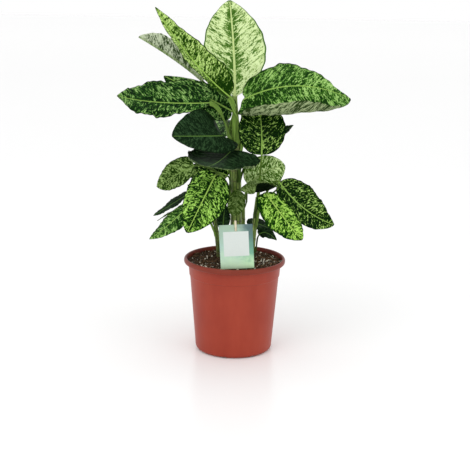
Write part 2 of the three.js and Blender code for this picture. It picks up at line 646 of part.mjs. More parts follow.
// The stake stands behind the card, passes through its slot and shows in front above it.
function stakeBody(grow = 0) {
  const behind = CARD.thick / 2 + GAP + STAKE.thick / 2;
  const half = STAKE.thick / 2 + grow;
  const [low, high] = STAKE.crossing;
  const path = [[-behind, STAKE.foot - grow], [-behind, low], [behind, high], [behind, STAKE.top]];
  const shape = new THREE.Shape();
  const front = path.map(([z, y], k) => new THREE.Vector2(z + half, y - (k === 1 || k === 2 ? 0.4 : 0)));
  const back = path.map(([z, y], k) => new THREE.Vector2(z - half, y + (k === 1 || k === 2 ? 0.4 : 0)));
  shape.setFromPoints([...front, ...back.reverse()]);
  const width = STAKE.width + 2 * grow;
  const geometry = new THREE.ExtrudeGeometry(shape, { depth: width, bevelEnabled: false });
  geometry.translate(0, 0, -width / 2);
  geometry.rotateY(-Math.PI / 2);
  return geometry;
}

const card = cardBody().applyMatrix4(CARD_FRAME);
const stake = stakeBody().applyMatrix4(CARD_FRAME);
addNode("plant_card", toGeometry(toSolid(card)), MATERIAL.card);
addNode("card_stake", toGeometry(toSolid(stake)), MATERIAL.stake);

const stems = Object.values(STEMS);
let soil = soilBody().subtract(notchBlocks(POT_WALL + GAP));
for (const stem of stems) soil = soil.subtract(stemHole(stem));
soil = soil.subtract(toSolid(stakeBody(GAP).applyMatrix4(CARD_FRAME)));
addNode("potting_soil", toGeometry(soil), MATERIAL.soil);
for (const stem of stems) addNode(stem.name, loft(stem.rings), MATERIAL.cane);

export default plant;
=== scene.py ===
"""A potted dieffenbachia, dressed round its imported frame: finely shaped variegated leaves on
clasping stalks, stems with their joints, a smooth moulded pot, loose potting soil and a blank card.
Sizes are written in millimetres, as in the part's own source, and become metres when a mesh is made.
Angles are in degrees, and a bearing is measured from +X towards +Y. -Y is the plant's front."""

import math
from collections import namedtuple
from functools import reduce

import bmesh
import bpy
import numpy as np
from mathutils import Euler, Matrix, Vector, noise


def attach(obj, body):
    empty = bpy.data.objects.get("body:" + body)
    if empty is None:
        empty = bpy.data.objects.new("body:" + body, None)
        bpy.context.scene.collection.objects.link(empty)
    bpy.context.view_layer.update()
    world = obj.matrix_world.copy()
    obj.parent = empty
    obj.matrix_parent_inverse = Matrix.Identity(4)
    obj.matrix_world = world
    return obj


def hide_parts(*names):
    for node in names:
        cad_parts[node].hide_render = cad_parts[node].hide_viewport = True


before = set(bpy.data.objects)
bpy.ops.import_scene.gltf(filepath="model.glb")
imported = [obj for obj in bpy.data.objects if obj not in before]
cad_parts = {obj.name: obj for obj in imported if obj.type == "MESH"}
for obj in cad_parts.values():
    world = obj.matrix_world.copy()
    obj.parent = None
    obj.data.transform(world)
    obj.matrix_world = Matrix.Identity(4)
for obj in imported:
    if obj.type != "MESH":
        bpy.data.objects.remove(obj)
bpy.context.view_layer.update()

MM = 0.001

# Camera, in metres: it stands in front of the pot, looks down a little and is rolled by a trace.
CAMERA_PLACE = (0.0, -1.55, 0.565)
CAMERA_PITCH = -13.4
CAMERA_ROLL = 0.9
SENSOR = 36.0
FOCAL_SHARE = 952 / 470  # focal length over the width of the picture

# Plant: the same formulas and values as in the part's source, with finer steps.
BLADE = 0.7
MARGIN_THICKNESS = 0.35
TIP_HALF_WIDTH = 0.35
CLASP_GAP = 0.3
ROW_STEP = 1.5
STALK_STEP = 2.5
# Columns of points on half a blade, and how they crowd: 1 is even, above it towards the midrib
COLUMNS = dict(rolled=(34, 1.0), large=(20, 1.5), small=(15, 1.5))
ROLLED_CURL = 80
SECTION_STEPS = 24
VEIN_SPACING = 8.5
VEIN_LEAN = 0.45  # how far a lateral vein runs forward for each unit outwards
VEIN_SWEEP = 0.004  # how much more it leans further out, per millimetre
VEIN_RELIEF = 0.5
NECK = 0.48  # a stalk's width at the blade over its width at the stem
SHEATH_FOOT = 0.15  # a sheath's thickness at its foot over its full one
SHEATH_RISE = 0.2  # the share of the stalk over which a sheath reaches its full thickness
SPECK_WEIGHT = 0.57
DARK_STALK = 0.45  # a stalk's dark streaks over its lightest colour


# Small helpers

def bearing(degrees):
    angle = np.radians(degrees)
    return np.stack([np.cos(angle), np.sin(angle), 0 * angle], axis=-1)


def unit(vectors):
    return vectors / np.linalg.norm(vectors, axis=-1, keepdims=True)


def lerp(a, b, t):
    return a + (b - a) * t


def smoothstep(x, low, high):
    t = np.clip((x - low) / (high - low), 0, 1)
    return t * t * (3 - 2 * t)


def within(x, rise, fall):
    """1 between two spans and 0 outside them, smooth across each."""
    return smoothstep(x, *rise) * (1 - smoothstep(x, *fall))


def curve(start, bend, end, t):
    """Points at t of a curve that leaves its start towards its bend and comes from there to its end."""
    return (1 - t) ** 2 * start + 2 * t * (1 - t) * bend + t ** 2 * end


def linear(red, green, blue):
    """A colour as read from a screen, 0 to 255, as Blender's linear red, green, blue and alpha."""
    def channel(c):
        c = c / 255
        return c / 12.92 if c <= 0.04045 else ((c + 0.055) / 1.055) ** 2.4
    return (channel(red), channel(green), channel(blue), 1.0)


def add_object(name, data):
    obj = bpy.data.objects.new(name, data)
    bpy.context.scene.collection.objects.link(obj)
    return obj


def add_mesh(name, points, faces, materials=(), sharp_angle=50):
    """A mesh object from points in millimetres and faces of any number of corners."""
    mesh = bpy.data.meshes.new(name)
    mesh.from_pydata((np.asarray(points) * MM).tolist(), [], faces)
    mesh.validate()
    for material in materials:
        mesh.materials.append(material)
    mesh.polygons.foreach_set("use_smooth", np.ones(len(mesh.polygons), bool))
    mesh.set_sharp_from_angle(angle=math.radians(sharp_angle))
    return add_object(name, mesh)


def add_vectors(obj, name, values):
    """Stores a vector for each vertex, for the materials to read."""
    attribute = obj.data.attributes.new(name, "FLOAT_VECTOR", "POINT")
    attribute.data.foreach_set("vector", np.asarray(values, np.float32).ravel())


def quads(*corners):
    return np.stack(corners, axis=-1).reshape(-1, 4)


def loft(rings):
    """Points and faces of one closed body through rings. A ring lists its upper row from left to
    right and then its lower row from right to left."""
    rows, count = rings.shape[:2]
    index = np.arange(rows * count).reshape(rows, count)
    on = np.roll(index, -1, axis=1)
    sides = quads(index[:-1], on[:-1], on[1:], index[1:])
    foot, tip = index[0], index[-1]
    i = np.arange(count // 2 - 1)
    across = count - 1 - i
    foot = quads(foot[i + 1], foot[i], foot[across], foot[across - 1])
    tip = quads(tip[i], tip[i + 1], tip[across - 1], tip[across])
    return rings.reshape(-1, 3), np.concatenate([sides, foot, tip]).tolist()


def lathe(profile, turns):
    """Points and faces of a closed profile of (radius, height) turned about Z. It starts and ends on
    the axis, and those two points are the last in the list."""
    profile = np.asarray(profile, float)
    body = profile[1:-1, None]
    points = body[..., :1] * bearing(np.arange(turns) * 360 / turns) + body[..., 1:] * [0, 0, 1]
    ends = [[0, 0, profile[0][1]], [0, 0, profile[-1][1]]]
    index = np.arange(len(body) * turns).reshape(len(body), turns)
    on = np.roll(index, -1, axis=1)
    sides = quads(index[:-1], on[:-1], on[1:], index[1:])
    foot = [[index.size, *pair] for pair in zip(on[0].tolist(), index[0].tolist())]
    top = [[index.size + 1, *pair] for pair in zip(index[-1].tolist(), on[-1].tolist())]
    return np.concatenate([points.reshape(-1, 3), ends]), sides.tolist() + foot + top


def cylinder(radius, low, high, turns):
    return lathe([(0, low), (radius, low), (radius, high), (0, high)], turns)


# Materials

class Finish:
    """A material with short ways to add and join its nodes. Sockets are passed as arguments. A colour
    is red, green and blue as read from a screen, 0 to 255, or with a fourth value as Blender has it."""

    def __init__(self, name, roughness, specular=0.5):
        self.material = bpy.data.materials.new(name)
        self.material.use_nodes = True
        self.tree = self.material.node_tree
        self.surface = self.tree.nodes["Principled BSDF"].inputs
        self.rough(roughness)
        self.join(specular, self.surface["Specular IOR Level"])

    def join(self, value, socket):
        if isinstance(value, bpy.types.NodeSocket):
            self.tree.links.new(value, socket)
        elif isinstance(value, tuple) and len(value) == 3:
            socket.default_value = linear(*value)
        else:
            socket.default_value = value

    def node(self, kind, values, output=0, **settings):
        """The output of a new node with settings, and with values by the name or place of each input."""
        node = self.tree.nodes.new("ShaderNode" + kind)
        for name, value in settings.items():
            setattr(node, name, value)
        for socket, value in values.items():
            self.join(value, node.inputs[socket])
        return node.outputs[output]

    def math(self, operation, *values):
        return self.node("Math", dict(enumerate(values)), operation=operation)

    def plus(self, *values):
        return reduce(lambda a, b: self.math("ADD", a, b), values)

    def times(self, *values):
        return reduce(lambda a, b: self.math("MULTIPLY", a, b), values)

    def minus(self, first, second):
        return self.math("SUBTRACT", first, second)

    def over(self, first, second):
        return self.math("DIVIDE", first, second)

    def around(self, value, weight):
        """A noise less its middle, times a weight."""
        return self.times(self.minus(value, 0.5), weight)

    def mix(self, share, first, second):
        return self.node("Mix", {0: share, 6: first, 7: second}, output=2, data_type="RGBA")

    def tint(self, colour, where, share, second):
        """The colour with a share of a second one mixed in, where a mask allows it."""
        return self.mix(self.times(where, share), colour, second)

    def step(self, value, low, high):
        """0 below low, 1 above high and smooth between them. Turned round where low is above high."""
        return self.node("MapRange", {0: value, 1: low, 2: high}, interpolation_type="SMOOTHSTEP")

    def parts(self, vector):
        return self.node("SeparateXYZ", {0: vector}, output=slice(3))

    def vector(self, *values):
        return self.node("CombineXYZ", dict(enumerate(values)))

    def attribute(self, name):
        return self.node("Attribute", {}, output="Vector", attribute_name=name)

    def scaled(self, vector, scale):
        return self.node("VectorMath", {0: vector, 1: list(scale)}, operation="MULTIPLY")

    def place(self, scale=(1, 1, 1)):
        """The point's place on the object, in millimetres, times a scale."""
        return self.scaled(self.node("TexCoord", {}, output="Object"), [s / MM for s in scale])

    def noise(self, vector, scale, **settings):
        """Noise, with its detail, roughness or distortion where that isn't as usual."""
        settings = {name.title(): value for name, value in settings.items()}
        return self.node("TexNoise", {"Vector": vector, "Scale": scale, **settings}, output="Fac")

    def ramp(self, value, *stops):
        node = self.tree.nodes.new("ShaderNodeValToRGB")
        elements = node.color_ramp.elements
        while len(elements) < len(stops):
            elements.new(0.5)
        for element, (place, colour) in zip(elements, stops):
            element.position = place
            element.color = linear(*colour)
        self.join(value, node.inputs[0])
        return node.outputs[0]

    def bump(self, height, strength, distance):
        values = {"Height": height, "Strength": strength, "Distance": distance * MM}
        self.join(self.node("Bump", values), self.surface["Normal"])

    def colour(self, value):
        self.join(value, self.surface["Base Color"])

    def rough(self, value):
        self.join(value, self.surface["Roughness"])


# How each kind of leaf is marked. upper is the colour of the upper side's ground, of its deeper and
# lighter patches and of the middles of its marks, and under the underside's two colours. size is a
# mark's size across and along the veins, in millimetres. rib and stalk are colours. cover adds to how
# much of the blade the marks take, and near adds to it near the midrib, margin, base and tip. drift is
# how much it changes from place to place, and gloss is the shine.
Look = namedtuple("Look", "upper under size rib stalk cover near drift rib_width gloss",
                  defaults=(0.02, {}, 0.22, 1.0, 0.05))
OLIVE_UNDER = [(60, 80, 42), (146, 160, 112)]
FERN_UNDER = [(76, 98, 54), (128, 150, 94)]
MOSS_UNDER = [(80, 100, 60), (134, 150, 104)]
LOOKS = {
    "cream": Look([(66, 108, 32), (104, 144, 62), (166, 194, 114), (222, 240, 180)],
        [(112, 144, 88), (180, 198, 140)], size=(4.4, 12.0), rib=(206, 224, 152), stalk=(150, 176, 98),
        cover=0.07, near=dict(rib=-0.14, margin=0.03), rib_width=1.9),
    "lime": Look([(20, 56, 0), (58, 98, 16), (108, 151, 46), (200, 229, 138)], OLIVE_UNDER,
        size=(2.8, 6.2), rib=(176, 212, 104), stalk=(132, 168, 76), cover=-0.01,
        near=dict(base=-0.11, tip=0.06), rib_width=1.3),
    "rich": Look([(16, 50, 4), (44, 94, 18), (80, 134, 38), (158, 198, 112)],
        [(38, 58, 20), (150, 166, 120)], size=(3.0, 8.6), rib=(142, 180, 84), stalk=(128, 164, 74),
        cover=0.01, near=dict(base=-0.08), drift=0.34),
    "deep": Look([(8, 36, 6), (32, 78, 18), (62, 114, 38), (152, 190, 110)], OLIVE_UNDER, size=(3.0, 8.6),
        rib=(142, 178, 84), stalk=(128, 164, 74), cover=-0.02, near=dict(rib=-0.03, margin=0.05),
        drift=0.36),
    "vivid": Look([(6, 42, 0), (26, 78, 0), (74, 130, 10), (174, 218, 98)], FERN_UNDER, size=(3.0, 5.6),
        rib=(160, 196, 90), stalk=(118, 150, 66), cover=0.04, near=dict(rib=-0.03, margin=-0.13)),
    "lively": Look([(2, 32, 0), (18, 60, 0), (68, 122, 12), (166, 212, 98)], FERN_UNDER, size=(3.0, 5.6),
        rib=(160, 196, 90), stalk=(118, 150, 66), near=dict(rib=-0.07, margin=-0.02)),
    "speckled": Look([(0, 28, 0), (18, 56, 0), (60, 104, 14), (178, 214, 114)], OLIVE_UNDER,
        size=(2.6, 5.4), rib=(142, 178, 84), stalk=(112, 146, 62), cover=-0.05, near=dict(rib=-0.02)),
    "pale": Look([(56, 95, 16), (99, 136, 50), (143, 178, 96), (216, 240, 170)], MOSS_UNDER,
        size=(3.2, 7.0), rib=(160, 186, 112), stalk=(100, 130, 60), rib_width=0.9),
    "muted": Look([(24, 51, 0), (46, 75, 12), (74, 105, 32), (150, 180, 104)], MOSS_UNDER,
        size=(3.0, 6.0), rib=(120, 150, 74), stalk=(100, 128, 60), rib_width=0.9),
    "dull": Look([(50, 78, 18), (74, 100, 36), (98, 124, 56), (132, 160, 92)],
        [(62, 82, 50), (100, 122, 80)], size=(4.0, 9.0), rib=(96, 122, 60), stalk=(94, 120, 56),
        cover=0.0, rib_width=0.7),
    # The arched look's nearly black underside colours are painted shade: the underside lies in shadow
    # beneath the arch.
    "arched": Look([(64, 90, 28), (88, 112, 48), (110, 136, 68), (146, 172, 106)],
        [(2, 16, 0), (14, 30, 8)], size=(2.8, 6.0), rib=(96, 120, 60), stalk=(84, 108, 54),
        rib_width=0.7),
    # The dark look is partly these leaves' own deeper green and partly painted shade: it darkens the
    # leaves that lie in shadow under the crown and low in the plant.
    "dark": Look([(14, 32, 14), (22, 43, 22), (31, 53, 30), (48, 74, 44)], [(62, 82, 48), (118, 136, 92)],
        size=(3.0, 7.0), rib=(92, 128, 58), stalk=(78, 106, 46), cover=-0.01, rib_width=0.8, gloss=0.02),
    "grey": Look([(40, 62, 30), (70, 92, 50), (104, 124, 82), (172, 186, 146)],
        [(44, 66, 26), (190, 202, 170)], size=(4.2, 12.0), rib=(150, 170, 112), stalk=(122, 146, 86)),
}
UPPER_STOPS = (0.45, 0.49, 0.535, 0.605)
UNDER_STOPS = (0.44, 0.58)
SPECK_SIZE = (1.5, 2.4)
DRIFT_SIZE = (34.0, 26.0)
NEAR = dict(rib=(0.42, 0.02), margin=(0.72, 1.0), base=(0.4, 0.02), tip=(0.2, 0.6))
RIM = (0.935, 0.97)  # where the dark rim starts and is full, as shares of the half width
TIP_RIM = (0.975, 0.99)  # and as shares of the length
RIB_EDGE = (1.15, 0.6)
UNDER_RIB = (3.2, 1.4)
STALK_STREAKS = (0.05, 0.9, 1.0)


def leaf_finish(name, look):
    """A leaf's material. leaf_place holds how far a point lies along its blade and from the midrib,
    in millimetres, and the leaf's seed. leaf_share holds those two as shares, and 1 on the underside."""
    f = Finish("leaf_" + name, 0.4, specular=look.gloss)
    place = f.attribute("leaf_place")
    along, across, seed = f.parts(place)
    share_along, share_out, under = f.parts(f.attribute("leaf_share"))
    out = f.math("ABSOLUTE", across)
    vein = f.minus(along, f.plus(f.times(out, VEIN_LEAN), f.times(out, out, VEIN_SWEEP)))

    def marks(size, shift, **settings):
        vector = f.vector(f.over(vein, size[0]), f.over(across, size[1]), f.plus(seed, shift))
        return f.noise(vector, 1.0, **settings)

    blotches = marks(look.size, 0.0, detail=3.0, roughness=0.62, distortion=0.7)
    specks = marks(SPECK_SIZE, 7.3, detail=2.0, roughness=0.6)
    drift = marks(DRIFT_SIZE, 3.1, detail=1.0)
    value = f.plus(blotches, f.around(specks, SPECK_WEIGHT), f.around(drift, look.drift), look.cover)
    for where, change in look.near.items():
        share = share_out if where in ("rib", "margin") else share_along
        value = f.plus(value, f.times(f.step(share, *NEAR[where]), change))

    upper = f.ramp(value, *zip(UPPER_STOPS, look.upper))
    rib_width = f.times(f.minus(1.5, share_along), look.rib_width)
    upper = f.mix(f.step(f.over(out, rib_width), *RIB_EDGE), upper, look.rib)
    rim = f.math("MAXIMUM", f.step(share_out, *RIM), f.step(share_along, *TIP_RIM))
    upper = f.mix(rim, upper, look.upper[0])
    lower = f.ramp(value, *zip(UNDER_STOPS, look.under))
    lower = f.tint(lower, f.step(out, *UNDER_RIB), 0.6, look.stalk)

    streaks = f.noise(f.scaled(place, STALK_STREAKS), 1.0, detail=3.0)
    dark_stalk = tuple(c * DARK_STALK for c in linear(*look.stalk)[:3]) + (1.0,)
    stalk = f.mix(f.step(streaks, 0.32, 0.62), dark_stalk, look.stalk)
    on_blade = f.step(share_along, -0.02, 0.01)
    f.colour(f.mix(on_blade, stalk, f.mix(under, upper, lower)))

    ridge = f.math("ABSOLUTE", f.math("SINE", f.times(vein, math.pi / VEIN_SPACING)))
    f.bump(f.plus(f.times(ridge, 0.6), f.times(specks, 0.5)), 0.5, 0.35)
    f.rough(f.plus(f.times(specks, 0.16), f.times(under, 0.16), 0.4))
    return f.material


def stem_finish():
    """Olive green with paler strips along the stem, brown scars at its joints and a brown foot."""
    f = Finish("stem_green", 0.5)
    place = f.attribute("stem_place")
    _, height, joint = f.parts(place)
    streaks = f.noise(f.scaled(place, (1.3, 0.03, 0.0)), 1.0, detail=4.0, roughness=0.65)
    mottle = f.noise(f.place(), 0.35, detail=3.0)
    colour = f.ramp(streaks, (0.4, (48, 70, 10)), (0.5, (114, 140, 48)), (0.6, (160, 186, 94)))
    colour = f.tint(colour, f.step(mottle, 0.55, 0.7), 0.5, (62, 72, 30))
    colour = f.tint(colour, f.step(joint, 0.3, 1.0), 0.75, (92, 84, 52))
    colour = f.tint(colour, f.step(height, 188.0, 160.0), 0.7, (70, 62, 38))
    f.colour(colour)
    f.bump(f.plus(streaks, f.times(mottle, 0.5)), 0.5, 0.4)
    return f.material


# Painted shade: above these heights the pot's lip and the inside of its rim are darkened in the colour.
LIP_SHADE_HEIGHTS = (147.6, 149.4)  # where the pot's darker lip begins
DUSTY_HEIGHTS = (149.0, 157.0)


def pot_finish():
    """Satin red-brown plastic with flow marks from its mould, faint scuffs and soil dust, and painted
    shade that darkens its lip and the inside of its rim.
    """
    f = Finish("pot_plastic", 0.42, specular=0.3)
    height = f.parts(f.place())[2]
    flow = f.noise(f.place((0.05, 0.05, 0.008)), 1.0, detail=4.0, roughness=0.6)
    cloud = f.noise(f.place(), 0.02, detail=2.0)
    scuffs = f.noise(f.place((0.5, 0.5, 0.05)), 1.0, detail=6.0, roughness=0.75)
    dust = f.noise(f.place(), 0.5, detail=4.0, roughness=0.7)
    grain = f.noise(f.place(), 1.4, detail=2.0)
    shade = f.plus(f.times(flow, 0.5), f.times(cloud, 0.5))
    colour = f.ramp(shade, (0.35, (150, 50, 30)), (0.65, (162, 60, 38)))
    colour = f.tint(colour, f.step(scuffs, 0.64, 0.74), 0.16, (196, 118, 98))
    # Painted shade: the lip and the inside of the rim are darkened here, where they lie in shade.
    colour = f.tint(colour, f.step(height, *LIP_SHADE_HEIGHTS), 0.6, (104, 38, 20))
    dusty = f.times(f.step(height, *DUSTY_HEIGHTS), f.step(dust, 0.5, 0.62))
    colour = f.tint(colour, dusty, 0.35, (84, 52, 38))
    f.colour(colour)
    f.rough(f.plus(f.times(scuffs, 0.25), 0.3))
    f.bump(f.plus(f.times(grain, 0.4), flow), 0.25, 0.25)
    return f.material


def soil_finish(name, dark, mid, light, scale):
    f = Finish(name, 0.95, specular=0.2)
    grain = f.noise(f.place(), scale, detail=5.0, roughness=0.7)
    f.colour(f.ramp(grain, (0.36, dark), (0.52, mid), (0.68, light)))
    f.bump(grain, 0.8, 0.8)
    return f.material


def perlite_finish():
    f = Finish("perlite_white", 0.8, specular=0.3)
    grain = f.noise(f.place(), 0.8, detail=3.0)
    f.colour(f.ramp(grain, (0.35, (186, 172, 146)), (0.55, (240, 234, 218))))
    f.bump(f.noise(f.place(), 2.5, detail=3.0), 0.6, 0.4)
    return f.material


# The card: a plain wash round a blank panel, light green at its foot, duller towards its top, and
# deeper on the right than on the left.
CARD_SIZE = (54.0, 74.0)
PANEL = ((-20.5, 20.0), (21.5, 62.5))  # from left to right and from foot to top
PANEL_EDGE = 0.3
CARD_TURN = (-2.0, 20.0)  # where the wash turns from its left tones to its right ones


def card_finish():
    f = Finish("card_wash", 0.5)
    place = f.attribute("card_place")
    x, y, _ = f.parts(place)
    wash = f.noise(place, 0.06, detail=4.0, roughness=0.6, distortion=0.8)
    level = f.plus(f.over(y, CARD_SIZE[1]), f.around(wash, 0.5))
    left = f.ramp(level, (0.05, (204, 236, 198)), (0.25, (190, 222, 194)), (0.5, (170, 202, 188)),
                  (0.95, (162, 190, 168)))
    right = f.ramp(level, (0.1, (196, 234, 188)), (0.35, (112, 172, 144)), (0.9, (80, 108, 108)))
    colour = f.mix(f.step(f.plus(x, f.around(wash, 30.0)), *CARD_TURN), left, right)
    edges = [f.step(value, edge - turn * PANEL_EDGE, edge + turn * PANEL_EDGE)
             for value, span in zip((x, y), PANEL) for edge, turn in zip(span, (1, -1))]
    colour = f.mix(f.times(*edges), colour, (214, 222, 217))
    fibres = f.noise(place, 1.1, detail=3.0)
    colour = f.tint(colour, f.step(fibres, 0.45, 0.7), 0.06, (120, 130, 128))
    f.colour(colour)
    f.bump(fibres, 0.1, 0.05)
    return f.material


def stake_finish():
    f = Finish("stake_cream", 0.55)
    grain = f.noise(f.place((1.2, 1.2, 0.08)), 1.0, detail=4.0)
    f.colour(f.ramp(grain, (0.3, (196, 182, 148)), (0.6, (226, 216, 188))))
    f.bump(grain, 0.3, 0.15)
    return f.material


# Stems

Stem = namedtuple("Stem", "node foot bend top radius joint_gap")
CANE = Stem("main_cane", (3, 4, 108), (1, 2, 240), (-1, 2, 372), (10.5, 8), 17)
RIGHT = Stem("right_shoot", (26, -5, 112), (29, -5, 190), (37, -6, 262), (5, 4), 24)
MIDDLE = Stem("middle_shoot", (14, 27, 112), (14, 24, 200), (13, 18, 250), (4, 3), 22)
LEFT = Stem("left_shoot", (-24, 10, 112), (-27, 10, 180), (-36, 10, 228), (4.5, 3.5), 20)
STEM_SIDES = 48
STEM_STEP = 1.2
JOINT_HEIGHT = 0.45
JOINT_LENGTH = 1.6
JOINT_LEAN = 0.08  # how far a joint slopes, over the gap between joints
BARK_SHARE = 0.985  # the bark's mean radius over the stem's
RIBS = ((5, 0.015), (9, 0.01))  # how many ribs run up the bark, and their height


def stem_centre(stem, t):
    return curve(*map(np.array, (stem.foot, stem.bend, stem.top)), np.asarray(t)[..., None])


def stem_at(stem, height):
    """The centre and radius of a stem at a height."""
    t = np.clip((height - stem.foot[2]) / (stem.top[2] - stem.foot[2]), 0, 1)
    return stem_centre(stem, t), lerp(*stem.radius, t)


def make_stem(stem, material):
    """A tapering tube with a low ring at each joint, leaning a little from joint to joint."""
    length = stem.top[2] - stem.foot[2]
    t = np.linspace(0, 1, int(length / STEM_STEP) + 1)
    centres = stem_centre(stem, t)
    heights = centres[:, 2:]
    angles = (np.arange(STEM_SIDES) + 0.5) * 2 * math.pi / STEM_SIDES
    phase = heights / stem.joint_gap + JOINT_LEAN * np.cos(angles + heights * 0.03)
    off = np.abs(phase - np.round(phase)) * stem.joint_gap
    joint = np.exp(-((off / JOINT_LENGTH) ** 2))
    radius = lerp(*stem.radius, t)[:, None]
    (wide, wide_height), (fine, fine_height) = RIBS
    ribs = wide_height * np.sin(angles * wide) + fine_height * np.sin(angles * fine + heights * 0.02)
    reach = radius * (BARK_SHARE + ribs) + JOINT_HEIGHT * joint * (0.6 + 0.4 * np.cos(angles))
    rings = centres[:, None, :] + reach[..., None] * bearing(np.degrees(angles))
    obj = add_mesh(stem.node + "_bark", *loft(rings), [material], sharp_angle=70)
    add_vectors(obj, "stem_place", np.stack(np.broadcast_arrays(angles * 3, heights, joint), axis=-1))
    return obj


